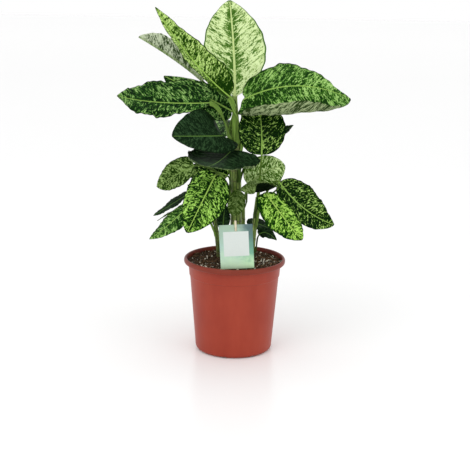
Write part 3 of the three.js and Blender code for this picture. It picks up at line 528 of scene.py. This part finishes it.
# Leaves. Each starts with its look, the stem it grows from, and the height and bearing of its sheath
# there. Then come its stalk's width and thickness and where given its width at the blade, three points
# of the blade's midrib, and the way its upper side faces. left and right give each half's width, how
# round it is at the base and how it tapers to the tip. Where right isn't given, it is as left. twist
# turns the blade along its length. fold and curl bend the two halves, and hook says how late the curl
# sets in. lobe draws the blade's base backwards. wave is the height, count and phase of its waves.
PLAIN = (0.52, 0.76)
Leaf = namedtuple("Leaf", "look stem height toward stalk base mid tip face left right twist fold curl "
                  "hook lobe wave", defaults=(None, 0, (4, 4), (-8, -8), 2, 0.1, (1, 2, 0)))
LEAVES = {
    "top_centre_leaf": Leaf("cream", CANE, 352, 90, (12, 4.5, 9), (-4, 26, 424), (-7, 50, 500),
        (-15, 68, 578), (-0.03, -0.93, 0.36), left=(52, 0.7, 0.75), right=(55.5, 0.74, 0.88), twist=-14,
        fold=(20, 19), curl=(15, -7), hook=4, lobe=0, wave=(2, 3, 0)),
    "upper_left_leaf": Leaf("lime", CANE, 350, -92, (14, 4.5, 12), (-13, -15, 427), (-72, -33, 486),
        (-128, -51, 565), (0.26, -0.81, 0.58), left=(24, 0.45, 0.76), right=(32, 0.37, 0.89), twist=-6,
        fold=(41, 39), curl=(-13, 14), hook=2.4, lobe=0, wave=(2, 3, 1)),
    "far_left_leaf": Leaf("grey", CANE, 334, 135, (9, 4), (-56, 26, 449), (-103, 25, 483),
        (-162, 29, 517), (0.6, 0.36, 0.72), left=(29, 0.79, 0.67), right=(24, 0.8, 0.6), twist=28,
        fold=(46, 62), curl=(13, 6), hook=2.5, lobe=0.2, wave=(1.5, 4, 0)),
    "inner_left_leaf": Leaf("deep", CANE, 365, 172, (7, 3.5), (-8, 12, 401), (-60, 16, 428),
        (-120, 18, 456), (0.08, -1, 0.03), left=(30, 0.5, 0.7), right=(22, 0.42, 0.9), fold=(0, 0),
        curl=(-10, -10), lobe=0.6, wave=(2, 3, 0)),
    "right_leaf": Leaf("rich", CANE, 338, -4, (14, 4, 10), (11, -3, 422), (92, -54, 449), (179, -44, 429),
        (0, -0.63, 0.77), left=(50, 0.43, 1.1), right=(88, 0.75, 0.83), twist=-12, fold=(7, -20),
        curl=(-7, 186), hook=2.9, lobe=0.7, wave=(2, 3, 0.6)),
    "left_leaf": Leaf("deep", CANE, 340, -156, (16, 4, 10), (-44, -20, 417), (-127, -30, 418),
        (-187, -60, 430), (0.09, -0.67, 0.74), left=(33.5, 0.8, 0.6), right=(51, 0.38, 0.95), twist=-5,
        fold=(9, 3), curl=(-22, -16), hook=3.6, lobe=0.3, wave=(3, 3, 2)),
    "shaded_left_leaf": Leaf("dark", CANE, 316, -135, (8, 3.5), (-22, -29, 366), (-46, -59, 369),
        (-99, -98, 373), (0.4, -0.75, 0.55), left=(33, 0.4, 0.74), right=(51, 0.33, 0.6), twist=-34,
        fold=(8, -2), curl=(-14, -9), hook=4.7, lobe=1.1, wave=(1.5, 2, 0)),
    "shaded_front_leaf": Leaf("dark", CANE, 286, -60, (9, 4), (-7, -18, 342), (-29, -72, 330),
        (-47, -118, 331), (0, -0.19, 0.98), left=(68, 0.49, 0.61), right=(54, 0.53, 0.67), twist=-3,
        fold=(-1, 1), curl=(46, 90), hook=6, lobe=0, wave=(2, 3, 1)),
    "inner_right_leaf": Leaf("speckled", RIGHT, 250, -80, (6, 3), (41, -26, 336), (40, -21, 376),
        (36, -6, 412), (0, -1, 0.1), left=(37.5, 0.44, 0.48), right=(39, 0.52, 0.52), fold=(8, 8),
        curl=(-10, -10)),
    "pale_right_leaf": Leaf("pale", MIDDLE, 236, 0, (6, 3), (21, 4, 281), (49, 2, 304), (81, 0, 313),
        (0.1, -0.9, 0.3), left=(28, *PLAIN), right=(30, 0.52, 0.5), fold=(4, 8), curl=(-6, -6)),
    "arched_leaf": Leaf("arched", RIGHT, 226, -120, (5, 3), (66, -35, 287), (30, -39, 296), (7, -52, 282),
        (0.47, -0.11, 0.88), left=(26, 0.9, 0.3), right=(29, 0.55, 0.55), twist=8, fold=(0, -66),
        curl=(33, -6), hook=1.5, lobe=0),
    "bright_right_leaf": Leaf("vivid", RIGHT, 210, -50, (6, 3), (50, -44, 275), (79, -66, 239),
        (107, -79, 208), (0.21, -0.58, 0.79), left=(26, 0.6, 0.66), right=(31, 0.53, 0.8), fold=(5, -10),
        curl=(-42, -14), hook=3.4, lobe=0.7, wave=(1.5, 3, 0)),
    "outer_right_leaf": Leaf("speckled", RIGHT, 232, 10, (6, 3), (71, -17, 290), (112, -35, 250),
        (161, -40, 225), (0.43, -0.75, 0.51), left=(33, 0.47, 0.84), right=(29, 0.61, 0.73), twist=-5,
        fold=(37, -1), curl=(-11, -5), hook=3, lobe=0, wave=(1.5, 3, 1)),
    "bright_left_leaf": Leaf("lively", CANE, 256, -145, (8, 3.5), (-33, -52, 305), (-52, -66, 267),
        (-76, -84, 218), (-0.14, -0.88, 0.46), left=(40, 0.61, 0.74), right=(35, 0.43, 0.69),
        fold=(14, 7), curl=(-30, -38), hook=1.5, lobe=0.4, wave=(1.5, 3, 0)),
    "round_left_leaf": Leaf("muted", CANE, 268, 175, (7, 3), (-69, -2, 312), (-103, -9, 295),
        (-129, -19, 279), (-0.23, -0.7, 0.65), left=(25, 0.45, 0.51), right=(30, 0.32, 0.98), twist=-12,
        fold=(5, 5), curl=(-11, -8)),
    "rear_left_leaf": Leaf("speckled", CANE, 246, 165, (6, 3), (-14, 23, 292), (-48, 33, 298),
        (-84, 40, 288), (-0.1, -0.8, 0.6), left=(19, 0.42, 0.7), right=(27, 0.42, 0.7), curl=(-10, -10)),
    "narrow_left_leaf": Leaf("dark", LEFT, 208, 170, (6, 3), (-80, 9, 263), (-107, 7, 245),
        (-137, 4, 226), (-0.42, -0.31, 0.85), left=(13, 0.57, 0.66), right=(17, 0.33, 0.86), fold=(2, 2),
        curl=(-12, -12)),
    "lower_left_leaf": Leaf("rich", LEFT, 186, -140, (6, 3), (-76, -16, 249), (-108, -26, 219),
        (-140, -36, 195), (-0.28, -0.5, 0.82), left=(24, 0.47, 0.87), right=(23.5, 0.47, 0.85), twist=6,
        fold=(8, -6), curl=(-39, -10), hook=1.8, lobe=0),
    "slim_left_leaf": Leaf("dark", LEFT, 196, 110, (5, 3), (-74, 42, 238), (-106, 44, 226),
        (-134, 44, 208), (-0.45, 0.2, 0.87), left=(17, *PLAIN), fold=(2, 2), curl=(-10, -10)),
    "rear_right_leaf": Leaf("dark", CANE, 288, 35, (6, 3), (44, 28, 346), (70, 38, 362), (95, 44, 376),
        (-0.3, -0.2, 0.9), left=(22, *PLAIN), fold=(8, 8)),
    "low_rear_leaf": Leaf("dark", MIDDLE, 176, 60, (5, 3), (24, 56, 199), (42, 62, 201), (66, 66, 188),
        (0.1, -0.3, 0.95), left=(20, *PLAIN)),
    "low_right_leaf": Leaf("dark", RIGHT, 166, -15, (5, 3), (40, 3, 196), (53, 2, 200), (70, 0, 188),
        (0.3, -0.5, 0.8), left=(13, *PLAIN)),
    "cane_front_leaf": Leaf("dull", CANE, 232, -90, (7, 3), (4, -22, 276), (1, -29, 256), (-4, -31, 236),
        (0.1, -1, 0.2), left=(15, 0.5, 0.5), right=(14, 0.5, 0.5)),
    "low_left_leaf": Leaf("dark", LEFT, 160, -70, (5, 3), (-20, -10, 206), (-19, -14, 230),
        (-17, -18, 252), (0.1, -0.8, 0.5), left=(11, *PLAIN)),
    "back_right_leaf": Leaf("deep", CANE, 306, 72, (9, 4), (26, 46, 380), (66, 100, 396), (92, 158, 384),
        (0, -0.1, 1), left=(45, 0.5, 0.76), fold=(14, 14), curl=(-14, -14), wave=(2, 3, 0)),
    "back_left_leaf": Leaf("deep", CANE, 276, 125, (9, 4), (-26, 46, 352), (-56, 102, 366),
        (-84, 152, 354), (0, -0.1, 1), left=(46, 0.5, 0.76), fold=(14, 14), curl=(-14, -14),
        wave=(2, 3, 0)),
    "back_low_left_leaf": Leaf("deep", LEFT, 214, 75, (6, 3), (-46, 48, 258), (-58, 84, 262),
        (-70, 120, 244), (0, 0.1, 1), left=(28, 0.5, 0.76), fold=(10, 10), curl=(-12, -12)),
    "back_low_right_leaf": Leaf("deep", MIDDLE, 238, 90, (6, 3), (30, 60, 272), (50, 92, 276),
        (70, 126, 256), (0, 0.1, 1), left=(30, 0.5, 0.76), fold=(10, 10), curl=(-12, -12)),
}
LEAF_WIDTHS = (31, 40)  # half widths of the narrowest large leaf, and of one with its full relief
ROW_CROWDING = 0.7  # 0 for even rows, and 1 for rows that crowd towards the base and the tip
ROW_SPAN = (0.006, 0.997)
SEED_STEP = 5.7  # how far apart two leaves' markings are cut from the same noise
EDGE_WAVES, EDGE_UNEVEN = 7, 0.012  # how often a blade's width swings, and by which share
RIPPLE_COUNTS = (8.3, 12.7)
RIPPLE = 0.35  # the margin's ripples over the leaf's waves
MIDRIB_LENGTH = 1.03  # over the straight way from base to tip
VEINS_ACROSS = ((0.02, 0.2), (0.82, 1.0))  # where the veins' relief sets in and fades out
VEINS_ALONG = ((0.0, 0.1), (0.85, 1.0))
VEINS_UNDER = 0.8  # the veins' relief on the underside over that on the upper side
MARGIN = (0.7, 1.0)  # where the blade thins
KEEL_HEIGHT = 0.75  # over the stalk's thickness
KEEL_END = 0.5  # its half width at the tip
GROOVE_DEPTH, GROOVE_WIDTH = 0.35, 1.1
STALK_RISE, STALK_REACH = 0.45, 0.2  # how far a stalk keeps the way of its foot and of its blade
STALK_LEAN = 0.12  # how far it leans out from the stem as it leaves its sheath
STALK_DROP = 0.36  # how far a stalk ends below its blade, over its thickness
STALK_END = 0.985  # the last ring's place, just short of the blade's first
STALK_ROUND = 84  # how far each half of its section turns, in degrees
STALK_FLATNESS = 0.42  # half its thickness at the blade over its full one at the stem
CHANNEL_DEPTH, CHANNEL_WIDTH = 0.75, 0.42  # the groove along a stalk


def stalk_size(leaf):
    """A stalk's width and thickness at the stem, and its width at the blade."""
    width, thick, *neck = leaf.stalk
    return width, thick, neck[0] if neck else width * NECK


def half_width(shape, u):
    """Half a blade's width at a share u of its length: rounded at the base, drawn out to the tip."""
    greatest, rounding, taper = shape
    widest = rounding / (rounding + taper)
    share = u ** rounding * (1 - u) ** taper / (widest ** rounding * (1 - widest) ** taper)
    return np.maximum(greatest * share, TIP_HALF_WIDTH)


def blade_frame(leaf, u):
    """Points of the curve through a leaf's base, middle and tip, and its ways along, up and right."""
    u = np.asarray(u, float)[..., None]
    base, mid, tip, face = (np.array(p, float) for p in (leaf.base, leaf.mid, leaf.tip, leaf.face))
    points = (1 - u) * (1 - 2 * u) * base + 4 * u * (1 - u) * mid + u * (2 * u - 1) * tip
    along = unit((4 * u - 3) * base + (4 - 8 * u) * mid + (4 * u - 1) * tip)
    up = unit(face - (along @ face)[..., None] * along)
    turn = np.radians(leaf.twist * (u - 0.5))
    up = up * np.cos(turn) + np.cross(along, up) * np.sin(turn)
    return points, along, up, np.cross(along, up)


def section(share, fold, curl, hook):
    """Where half a blade's cross-section has got to at a share of its width: out and up, per unit."""
    steps = (np.arange(SECTION_STEPS) + 0.5) / SECTION_STEPS
    angle = np.radians(fold + curl[..., None] * (share[..., None] * steps) ** hook)
    return np.cos(angle).mean(-1) * share, np.sin(angle).mean(-1) * share


def blade_grid(leaf, u, v, rng):
    """The blade's upper face as a grid of points, with how far each lies from the midrib."""
    points, along, up, right = (vectors[:, None] for vectors in blade_frame(leaf, u))
    swell = np.sqrt(np.sin(math.pi * np.clip(u, 0.02, 0.98)))[:, None]
    phases = rng.uniform(0, 2 * math.pi, (3, 2))
    height, count, phase = leaf.wave

    def swing(times, shift):
        return np.sin(2 * math.pi * times * u + shift)[:, None]

    grid = np.zeros((len(u), len(v), 3))
    across = np.zeros((len(u), len(v)))
    for side, (mask, shape) in enumerate(((v < 0, leaf.left), (v >= 0, leaf.right or leaf.left))):
        share = np.abs(v[mask]) * np.ones((len(u), 1))
        sign = 2 * side - 1
        edge, *ripples = phases[:, side]
        width = half_width(shape, u)[:, None] * (1 + EDGE_UNEVEN * swing(EDGE_WAVES, edge))
        out, lift = section(share, leaf.fold[side], leaf.curl[side] * swell, leaf.hook)
        wave = height * share ** 2 * swell * swing(count, phase + 2 * side)
        ripple = RIPPLE * height * share ** 5 * swell * sum(map(swing, RIPPLE_COUNTS, ripples))
        lobe = leaf.lobe * width * share ** 2 * ((1 - u) ** 4)[:, None]
        grid[:, mask] = (points + right * (sign * out * width)[..., None]
                         + up * (lift * width + wave + ripple)[..., None] - along * lobe[..., None])
        across[:, mask] = sign * share * width
    return grid, across


def blade_rings(leaf, u, v, rng):
    """Rings of the blade's upper and lower faces, with each point's place and share."""
    grid, across = blade_grid(leaf, u, v, rng)
    normals = unit(np.cross(np.gradient(grid, axis=1), np.gradient(grid, axis=0)))
    length = math.dist(leaf.base, leaf.tip) * MIDRIB_LENGTH
    share_along, share_out = np.broadcast_arrays(u[:, None], np.abs(v))
    ends = within(u, *VEINS_ALONG)[:, None]
    relief = VEIN_RELIEF * min(1.0, widest_half(leaf) / LEAF_WIDTHS[1])
    vein = share_along * length - VEIN_LEAN * np.abs(across) - VEIN_SWEEP * across ** 2
    veins = relief * within(share_out, *VEINS_ACROSS) * ends * np.sin(math.pi * vein / VEIN_SPACING) ** 2
    _, stalk_thick, neck = stalk_size(leaf)
    keel_width = lerp(neck / 2, KEEL_END, np.sqrt(u))[:, None]
    keel_height = (stalk_thick * KEEL_HEIGHT * (1 - u) ** 0.8)[:, None]
    keel = keel_height * np.sqrt(np.clip(1 - (across / keel_width) ** 2, 0, 1))
    groove = GROOVE_DEPTH * np.exp(-((across / GROOVE_WIDTH) ** 2)) * ends
    thickness = lerp(BLADE, MARGIN_THICKNESS, smoothstep(share_out, *MARGIN))
    upper = grid + normals * (veins - groove)[..., None]
    lower = grid + normals * (veins * VEINS_UNDER - thickness - keel)[..., None]

    def both(above, below):
        return np.concatenate([above, below[:, ::-1]], axis=1)

    along, out, share_along, share_out = (
        both(values, values) for values in (share_along * length, across, share_along, share_out))
    under = both(np.zeros_like(across), np.ones_like(across))
    return both(upper, lower), along, out, share_along, share_out, under


def stalk_rings(leaf, half):
    """Rings of the stalk: a sheath that clasps the stem, and then a grooved rod up to the blade. Its
    places along are below 0, which is the blade's base."""
    centre, radius = stem_at(leaf.stem, leaf.height)
    outward = bearing(leaf.toward)
    inner = radius + CLASP_GAP
    width, thick, neck = stalk_size(leaf)
    _, blade_along, blade_up, _ = blade_frame(leaf, 0.0)
    start = centre + outward * (inner + thick / 2)
    end = np.array(leaf.base, float) - blade_up * thick * STALK_DROP
    reach = np.linalg.norm(start - end)
    rise = start + unit(np.array([0, 0, 1.0]) + outward * STALK_LEAN) * reach * STALK_RISE
    enter = end - blade_along * reach * STALK_REACH
    rows = max(12, int(reach / STALK_STEP))
    t = STALK_END * (np.arange(rows + 1)[:, None] / rows) ** 0.8
    points = lerp(curve(start, rise, enter, t), curve(rise, enter, end, t), t)
    along = unit(curve(rise - start, enter - rise, end - enter, t))
    hint = lerp(-outward, blade_up, smoothstep(t, 0, 1))
    up = unit(hint - (along * hint).sum(-1, keepdims=True) * along)
    right = np.cross(along, up)
    half_wide = lerp(width / 2, neck / 2, smoothstep(t, 0, 0.9))
    full = lerp(thick / 2, thick * STALK_FLATNESS, t)
    half_thick = full * lerp(SHEATH_FOOT, 1.0, smoothstep(t, 0, SHEATH_RISE))
    points = points - outward * (full - half_thick)
    turn = np.radians(STALK_ROUND) * np.arange(-half, half + 1) / half
    turn = np.concatenate([turn, turn[::-1]])
    face = np.repeat([1, -1], len(turn) // 2)
    channel = CHANNEL_DEPTH * np.exp(-((turn / CHANNEL_WIDTH) ** 2)) * (1 - smoothstep(t, 0.75, 1.0))
    upwards = (face * np.cos(turn) - channel * (face > 0)) * half_thick
    sideways = np.sin(turn) * half_wide
    bent = (1 - np.cos(sideways / inner)) * inner * (1 - smoothstep(t, 0, 0.5))
    rings = (points[:, None] + right[:, None] * sideways[..., None] + up[:, None] * upwards[..., None]
             - outward * bent[..., None])
    before = (t - 1) * np.ones_like(sideways)
    out = np.abs(sideways / half_wide)
    return rings, before * reach, sideways, before * 0.999 - 0.001, out, 0 * out


def widest_half(leaf):
    return max(leaf.left[0], (leaf.right or leaf.left)[0])


def make_leaf(name, leaf, seed, material):
    """A leaf as one body, its stalk's rings and then its blade's."""
    if max(leaf.curl) > ROLLED_CURL:
        half, crowding = COLUMNS["rolled"]
    else:
        half, crowding = COLUMNS["large" if widest_half(leaf) > LEAF_WIDTHS[0] else "small"]
    steps = np.arange(-half, half + 1) / half
    v = np.sign(steps) * np.abs(steps) ** crowding
    rows = int(math.dist(leaf.base, leaf.tip) / ROW_STEP)
    even = np.arange(rows + 1) / rows
    u = lerp(*ROW_SPAN, lerp(even, 0.5 - 0.5 * np.cos(math.pi * even), ROW_CROWDING))
    pairs = zip(stalk_rings(leaf, half), blade_rings(leaf, u, v, np.random.default_rng(seed)))
    rings, along, across, *shares = (np.concatenate(pair) for pair in pairs)
    obj = add_mesh(name + "_blade", *loft(rings), [material], sharp_angle=60)
    seeds = np.full_like(along, seed * SEED_STEP)
    add_vectors(obj, "leaf_place", np.stack([along, across, seeds], axis=-1))
    add_vectors(obj, "leaf_share", np.stack(shares, axis=-1))
    return obj


# Pot

POT_TOP = 158.0
POT_WALL = 1.8
POT_TURNS = 256
CORNER_RADIUS = 1.2
CORNER_STEPS = 4
NOTCHES = 8
FIRST_NOTCH = -104.5
NOTCH_WIDTH = 9.0
NOTCH_HEIGHT = 2.4
NOTCH_INSIDE = (47.5, 49.0)  # the radii between which a notch rises
NOTCH_SIDE = (-0.9, 0.3)  # how far past its half width its side begins and ends
DRAIN_RADIUS = 4.5
DRAIN_AT = 39.5
DRAIN_CUT = (-2, 9)


def wall_radius(z):
    return 64.3 + 0.082 * z


OUTER_PROFILE = [
    (0, 0), (30, 0), (33, 4), (46, 4), (49, 0), (60, 0), (63.4, 2), (64.8, 5), (wall_radius(9), 9),
    (wall_radius(128), 128), (76, 128.8), (77.5, 148), (82.8, 148.8), (84.5, 150), (85, 152),
    (85, 154.8), (84, 157), (82.4, POT_TOP), (81, POT_TOP - 0.4), (80.2, 156.2),
]
INNER_PROFILE = [
    (79.4, 150), (75.7, 146.4), (74.2, 128), (wall_radius(127) - POT_WALL, 127),
    (wall_radius(9) - POT_WALL, 9), (62.4, 4.4), (58.6, 1.8), (50.4, 1.8), (47, 5.8), (31.6, 5.8),
    (29, 1.8), (0, 1.8),
]


def rounded(profile):
    """The profile with its corners cut to short curves."""
    points = [np.array(p, float) for p in profile]
    result = [points[0]]
    for before, corner, after in zip(points, points[1:], points[2:]):
        sides = (before - corner, after - corner)
        reach = min(CORNER_RADIUS, *(np.linalg.norm(side) * 0.45 for side in sides))
        enter, leave = (corner + unit(side) * reach for side in sides)
        result += [curve(enter, corner, leave, k / CORNER_STEPS) for k in range(CORNER_STEPS + 1)]
    return result + points[-1:]


def make_pot(material):
    """The pot turned from its outline, with notches in its foot ring and holes in its floor."""
    points, faces = lathe(rounded(OUTER_PROFILE + INNER_PROFILE), POT_TURNS)
    outside = len(rounded(OUTER_PROFILE + INNER_PROFILE[:1])) - 2
    is_inner = np.arange(len(points)) >= outside * POT_TURNS
    is_inner[-2:] = (False, True)
    radius = np.hypot(points[:, 0], points[:, 1])
    turn = np.degrees(np.arctan2(points[:, 1], points[:, 0]))
    pitch = 360 / NOTCHES
    off = (turn - FIRST_NOTCH + pitch / 2) % pitch - pitch / 2
    past_side = np.abs(np.radians(off)) * radius - NOTCH_WIDTH / 2 - np.where(is_inner, POT_WALL, 0)
    lift = NOTCH_HEIGHT * (1 - smoothstep(past_side, *NOTCH_SIDE)) * smoothstep(radius, *NOTCH_INSIDE)
    floor = lift + np.where(is_inner & (lift > 0), POT_WALL, 0)
    points[:, 2] = np.maximum(points[:, 2], floor)
    pot = add_mesh("pot_shell", points, faces, [material], sharp_angle=40)
    cut_drain_holes(pot)
    return pot


def cut_drain_holes(pot):
    """Cuts a round hole in the floor between each two notches."""
    plug, plug_faces = cylinder(DRAIN_RADIUS, *DRAIN_CUT, 40)
    points, faces = [], []
    for k in range(NOTCHES):
        points.append(plug + bearing(FIRST_NOTCH + (k + 0.5) * 360 / NOTCHES) * DRAIN_AT)
        faces += [[corner + k * len(plug) for corner in face] for face in plug_faces]
    cutter = add_mesh("drain_cutter", np.concatenate(points), faces)
    cut = pot.modifiers.new("drain", "BOOLEAN")
    cut.operation = "DIFFERENCE"
    cut.object = cutter
    cut.solver = "EXACT"
    evaluated = pot.evaluated_get(bpy.context.evaluated_depsgraph_get())
    mesh = bpy.data.meshes.new_from_object(evaluated)
    pot.modifiers.clear()
    pot.data = mesh
    bpy.data.objects.remove(cutter)


# Potting soil

SOIL_REACH = 79.0
SOIL_EDGE = 151.0
SOIL_CROWN = 5.0
SOIL_TURNS = 240
SOIL_RINGS = 70
SOIL_SIDES = [
    (0, 2.2), (28.6, 2.2), (31.2, 6.2), (47.4, 6.2), (50.8, 2.2), (58.4, 2.2), (62.0, 4.8),
    (wall_radius(9) - 2.2, 9.2), (wall_radius(127) - 2.2, 127.2), (73.8, 128.4), (75.4, 146.5),
    (SOIL_REACH, 150.2),
]
LUMPS = ((9, 1.8, 0.3), (3.6, 1.3, 4.1), (1.5, 0.6, 8.2))  # size, height and where its noise is cut
GRAIN_REACH = 77.5
GRAIN_DENT = 0.28
GRAIN_LEAST = (1, 0.7, 0.45)  # a grain's least length, width and height
GRAIN_SPREAD = (0.3, 0.4)  # and how much its width and height vary


def soil_height(x, y):
    """The soil's height with its lumps and crumbs."""
    r = math.hypot(x, y) / SOIL_REACH
    bumps = 0.5 * math.sin(x / 7 + 1) * math.cos(y / 6) + 0.4 * math.sin((x + 2 * y) / 11)
    lumps = sum(noise.noise(Vector((x / size, y / size, cut))) * height for size, height, cut in LUMPS)
    return SOIL_EDGE + SOIL_CROWN * (1 - r * r) + bumps * (1 - r ** 6) + lumps * (1 - r ** 8)


def make_soil(material):
    """The soil turned from its outline just inside the pot, with an uneven top."""
    surface = [(SOIL_REACH * (1 - k / SOIL_RINGS), SOIL_EDGE) for k in range(SOIL_RINGS + 1)]
    points, faces = lathe(SOIL_SIDES + surface, SOIL_TURNS)
    on_top = np.arange(len(points)) >= (len(SOIL_SIDES) - 1) * SOIL_TURNS
    on_top[-2] = False
    points[on_top, 2] = [soil_height(x, y) for x, y, _ in points[on_top]]
    return add_mesh("potting_soil_bed", points, faces, [material], sharp_angle=180)


def ball():
    """Points and faces of a small faceted ball."""
    shape = bmesh.new()
    bmesh.ops.create_icosphere(shape, subdivisions=1, radius=1.0)
    points = np.array([v.co for v in shape.verts])
    faces = np.array([[v.index for v in f.verts] for f in shape.faces])
    shape.free()
    return points, faces


def scatter(name, count, sizes, stretch, sink, lift, seed, material, density=lambda x, y: 1.0):
    """Grains on the soil in one mesh, each turned, stretched and dented at random. sink is how deep
    they lie, lift how far they may tip, and density how likely a grain stays at a place."""
    rng = np.random.default_rng(seed)
    shape, shape_faces = ball()
    points, faces = [], []
    while len(points) < count:
        r = GRAIN_REACH * math.sqrt(rng.random())
        turn = rng.random() * 2 * math.pi
        x, y = r * math.cos(turn), r * math.sin(turn)
        if rng.random() > density(x, y):
            continue
        size = lerp(*sizes, rng.random() ** 2)
        scale = size * (np.array(GRAIN_LEAST) + rng.random(3) * (stretch - 1, *GRAIN_SPREAD))
        dents = 1 + GRAIN_DENT * rng.standard_normal(len(shape)).clip(-1.2, 1.2)
        about_z, about_y, about_x = rng.random(3)
        spin = Euler((lift * (about_x - 0.5), lift * (about_y - 0.5), about_z * 2 * math.pi)).to_matrix()
        grain = (shape * dents[:, None] * scale) @ np.array(spin).T
        grain += [x, y, soil_height(x, y) + scale[2] * (1 - sink)]
        faces.append(shape_faces + len(points) * len(shape))
        points.append(grain)
    faces = np.concatenate(faces).tolist()
    return add_mesh(name, np.concatenate(points), faces, [material], sharp_angle=60)


def perlite_density(x, y):
    """More white grains to the right and at the front left, as they lie in this pot."""
    right = math.exp(-((x - 56) ** 2 + (y + 14) ** 2) / 900)
    front_left = math.exp(-((x + 48) ** 2 + (y + 42) ** 2) / 420)
    return 0.1 + 0.9 * max(right, front_left)


# Card and stake

CARD_THICK = 0.8
CARD_INSET = 0.4  # how far in from its edges the card begins to round off
CARD_EDGE = 0.45  # its thickness at its edges over its full one
CARD_ORIGIN = np.array([5.0, -68.2, 156.2])
CARD_X = unit(np.array([1, 0, 0.06]))
CARD_Y = unit(np.array([-0.06, -0.055, 1]))
CARD_AXES = np.array([CARD_X, CARD_Y, unit(np.cross(CARD_X, CARD_Y))])
SLOT_HALF, SLOT_LOW, SLOT_HIGH = 2.0, 63.0, 71.0


def make_card(material):
    """The card as a grid with rounded edges and a slot for the stake, which is one cell left out."""
    half, top = CARD_SIZE[0] / 2, CARD_SIZE[1]
    to_slot = np.linspace(CARD_INSET - half, -SLOT_HALF, 8)
    xs = [-half, *to_slot, *-to_slot[::-1], half]
    ys = [0, *np.linspace(CARD_INSET, SLOT_LOW, 14), SLOT_HIGH, top - CARD_INSET, top]
    flat = np.array([(x, y, z) for z in (CARD_THICK / 2, -CARD_THICK / 2) for y in ys for x in xs])
    at_edge = np.isin(flat[:, 0], (-half, half)) | np.isin(flat[:, 1], (0, top))
    solid = flat.copy()
    solid[at_edge, 2] *= CARD_EDGE
    slot = (xs.index(-SLOT_HALF), ys.index(SLOT_LOW))
    cells = [(i, j) for j in range(len(ys) - 1) for i in range(len(xs) - 1) if (i, j) != slot]
    back = len(xs) * len(ys)
    faces = []
    for i, j in cells:
        a = j * len(xs) + i
        b, c, d = a + 1, a + 1 + len(xs), a + len(xs)
        faces += [[a, b, c, d], [d + back, c + back, b + back, a + back]]
        for right, up, p, q in ((0, -1, a, b), (1, 0, b, c), (0, 1, c, d), (-1, 0, d, a)):
            if (i + right, j + up) not in cells:
                faces.append([q, p, p + back, q + back])
    obj = add_mesh("plant_card_print", CARD_ORIGIN + solid @ CARD_AXES, faces, [material], sharp_angle=35)
    add_vectors(obj, "card_place", flat)
    return obj


# Build


def dress(piece, node=None):
    """Ties a piece to the frame, in the place of a CAD node where one is named."""
    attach(piece, "root")
    if node:
        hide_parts(node)


materials = {name: leaf_finish(name, look) for name, look in LOOKS.items()}
stem_green = stem_finish()
for stem in (CANE, RIGHT, MIDDLE, LEFT):
    dress(make_stem(stem, stem_green), stem.node)
for seed, (name, leaf) in enumerate(LEAVES.items(), start=1):
    piece = make_leaf(name, leaf, seed, materials[leaf.look])
    dress(piece, name)

dress(make_pot(pot_finish()), "pot")
soil_peat = soil_finish("soil_peat", (25, 18, 12), (60, 45, 32), (108, 86, 64), 0.5)
dress(make_soil(soil_peat), "potting_soil")
crumb_peat = soil_finish("crumb_peat", (30, 21, 14), (70, 53, 38), (124, 99, 74), 0.3)
dress(scatter("soil_crumbs", 1500, (0.5, 1.9), 1.5, 0.35, 2.0, 11, crumb_peat))
bark_brown = soil_finish("bark_brown", (54, 37, 25), (104, 77, 54), (150, 118, 86), 0.25)
dress(scatter("bark_chips", 420, (0.9, 2.0), 4.5, 0.1, 0.7, 12, bark_brown))
dress(scatter("perlite_grains", 230, (0.6, 2.0), 1.3, 0.15, 3.0, 13, perlite_finish(), perlite_density))

dress(make_card(card_finish()), "plant_card")
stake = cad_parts["card_stake"]
stake.data.materials.clear()
stake.data.materials.append(stake_finish())


# Stage, light and camera

FLOOR_REACH = 60000
FLOOR_LEVELS = (-20, -0.3)  # its underside, and its top just below the pot
FLOOR_WHITE = (0.97, 0.97, 0.97, 1)


def make_floor():
    finish = Finish("floor_white", 0.25, specular=0.3)
    finish.colour(FLOOR_WHITE)
    add_mesh("studio_floor", *cylinder(FLOOR_REACH, *FLOOR_LEVELS, 96), [finish.material])


def make_world():
    """White light from all round."""
    world = bpy.data.worlds.new("studio")
    world.use_nodes = True
    background = world.node_tree.nodes["Background"]
    background.inputs["Color"].default_value = (1, 1, 1, 1)
    background.inputs["Strength"].default_value = 1.0
    bpy.context.scene.world = world


def add_softbox(name, place, target, size, power):
    """A square light that faces its target, in metres."""
    data = bpy.data.lights.new(name, "AREA")
    data.size = size
    data.energy = power
    light = add_object(name, data)
    light.location = place
    light.rotation_euler = (Vector(target) - Vector(place)).to_track_quat("-Z", "Y").to_euler()


def make_camera():
    data = bpy.data.cameras.new("camera")
    data.sensor_width = SENSOR
    data.lens = SENSOR * FOCAL_SHARE
    camera = add_object("camera", data)
    pitch = Matrix.Rotation(math.radians(90 + CAMERA_PITCH), 4, "X")
    roll = Matrix.Rotation(math.radians(CAMERA_ROLL), 4, "Z")
    camera.matrix_world = Matrix.Translation(CAMERA_PLACE) @ pitch @ roll
    bpy.context.scene.camera = camera


make_floor()
make_world()
add_softbox("key_light", (-0.9, -1.3, 1.9), (0, 0, 0.35), 1.2, 9)
add_softbox("fill_light", (1.4, -1.0, 1.2), (0, 0, 0.3), 1.0, 3)
bpy.context.scene.view_settings.view_transform = "Standard"
make_camera()
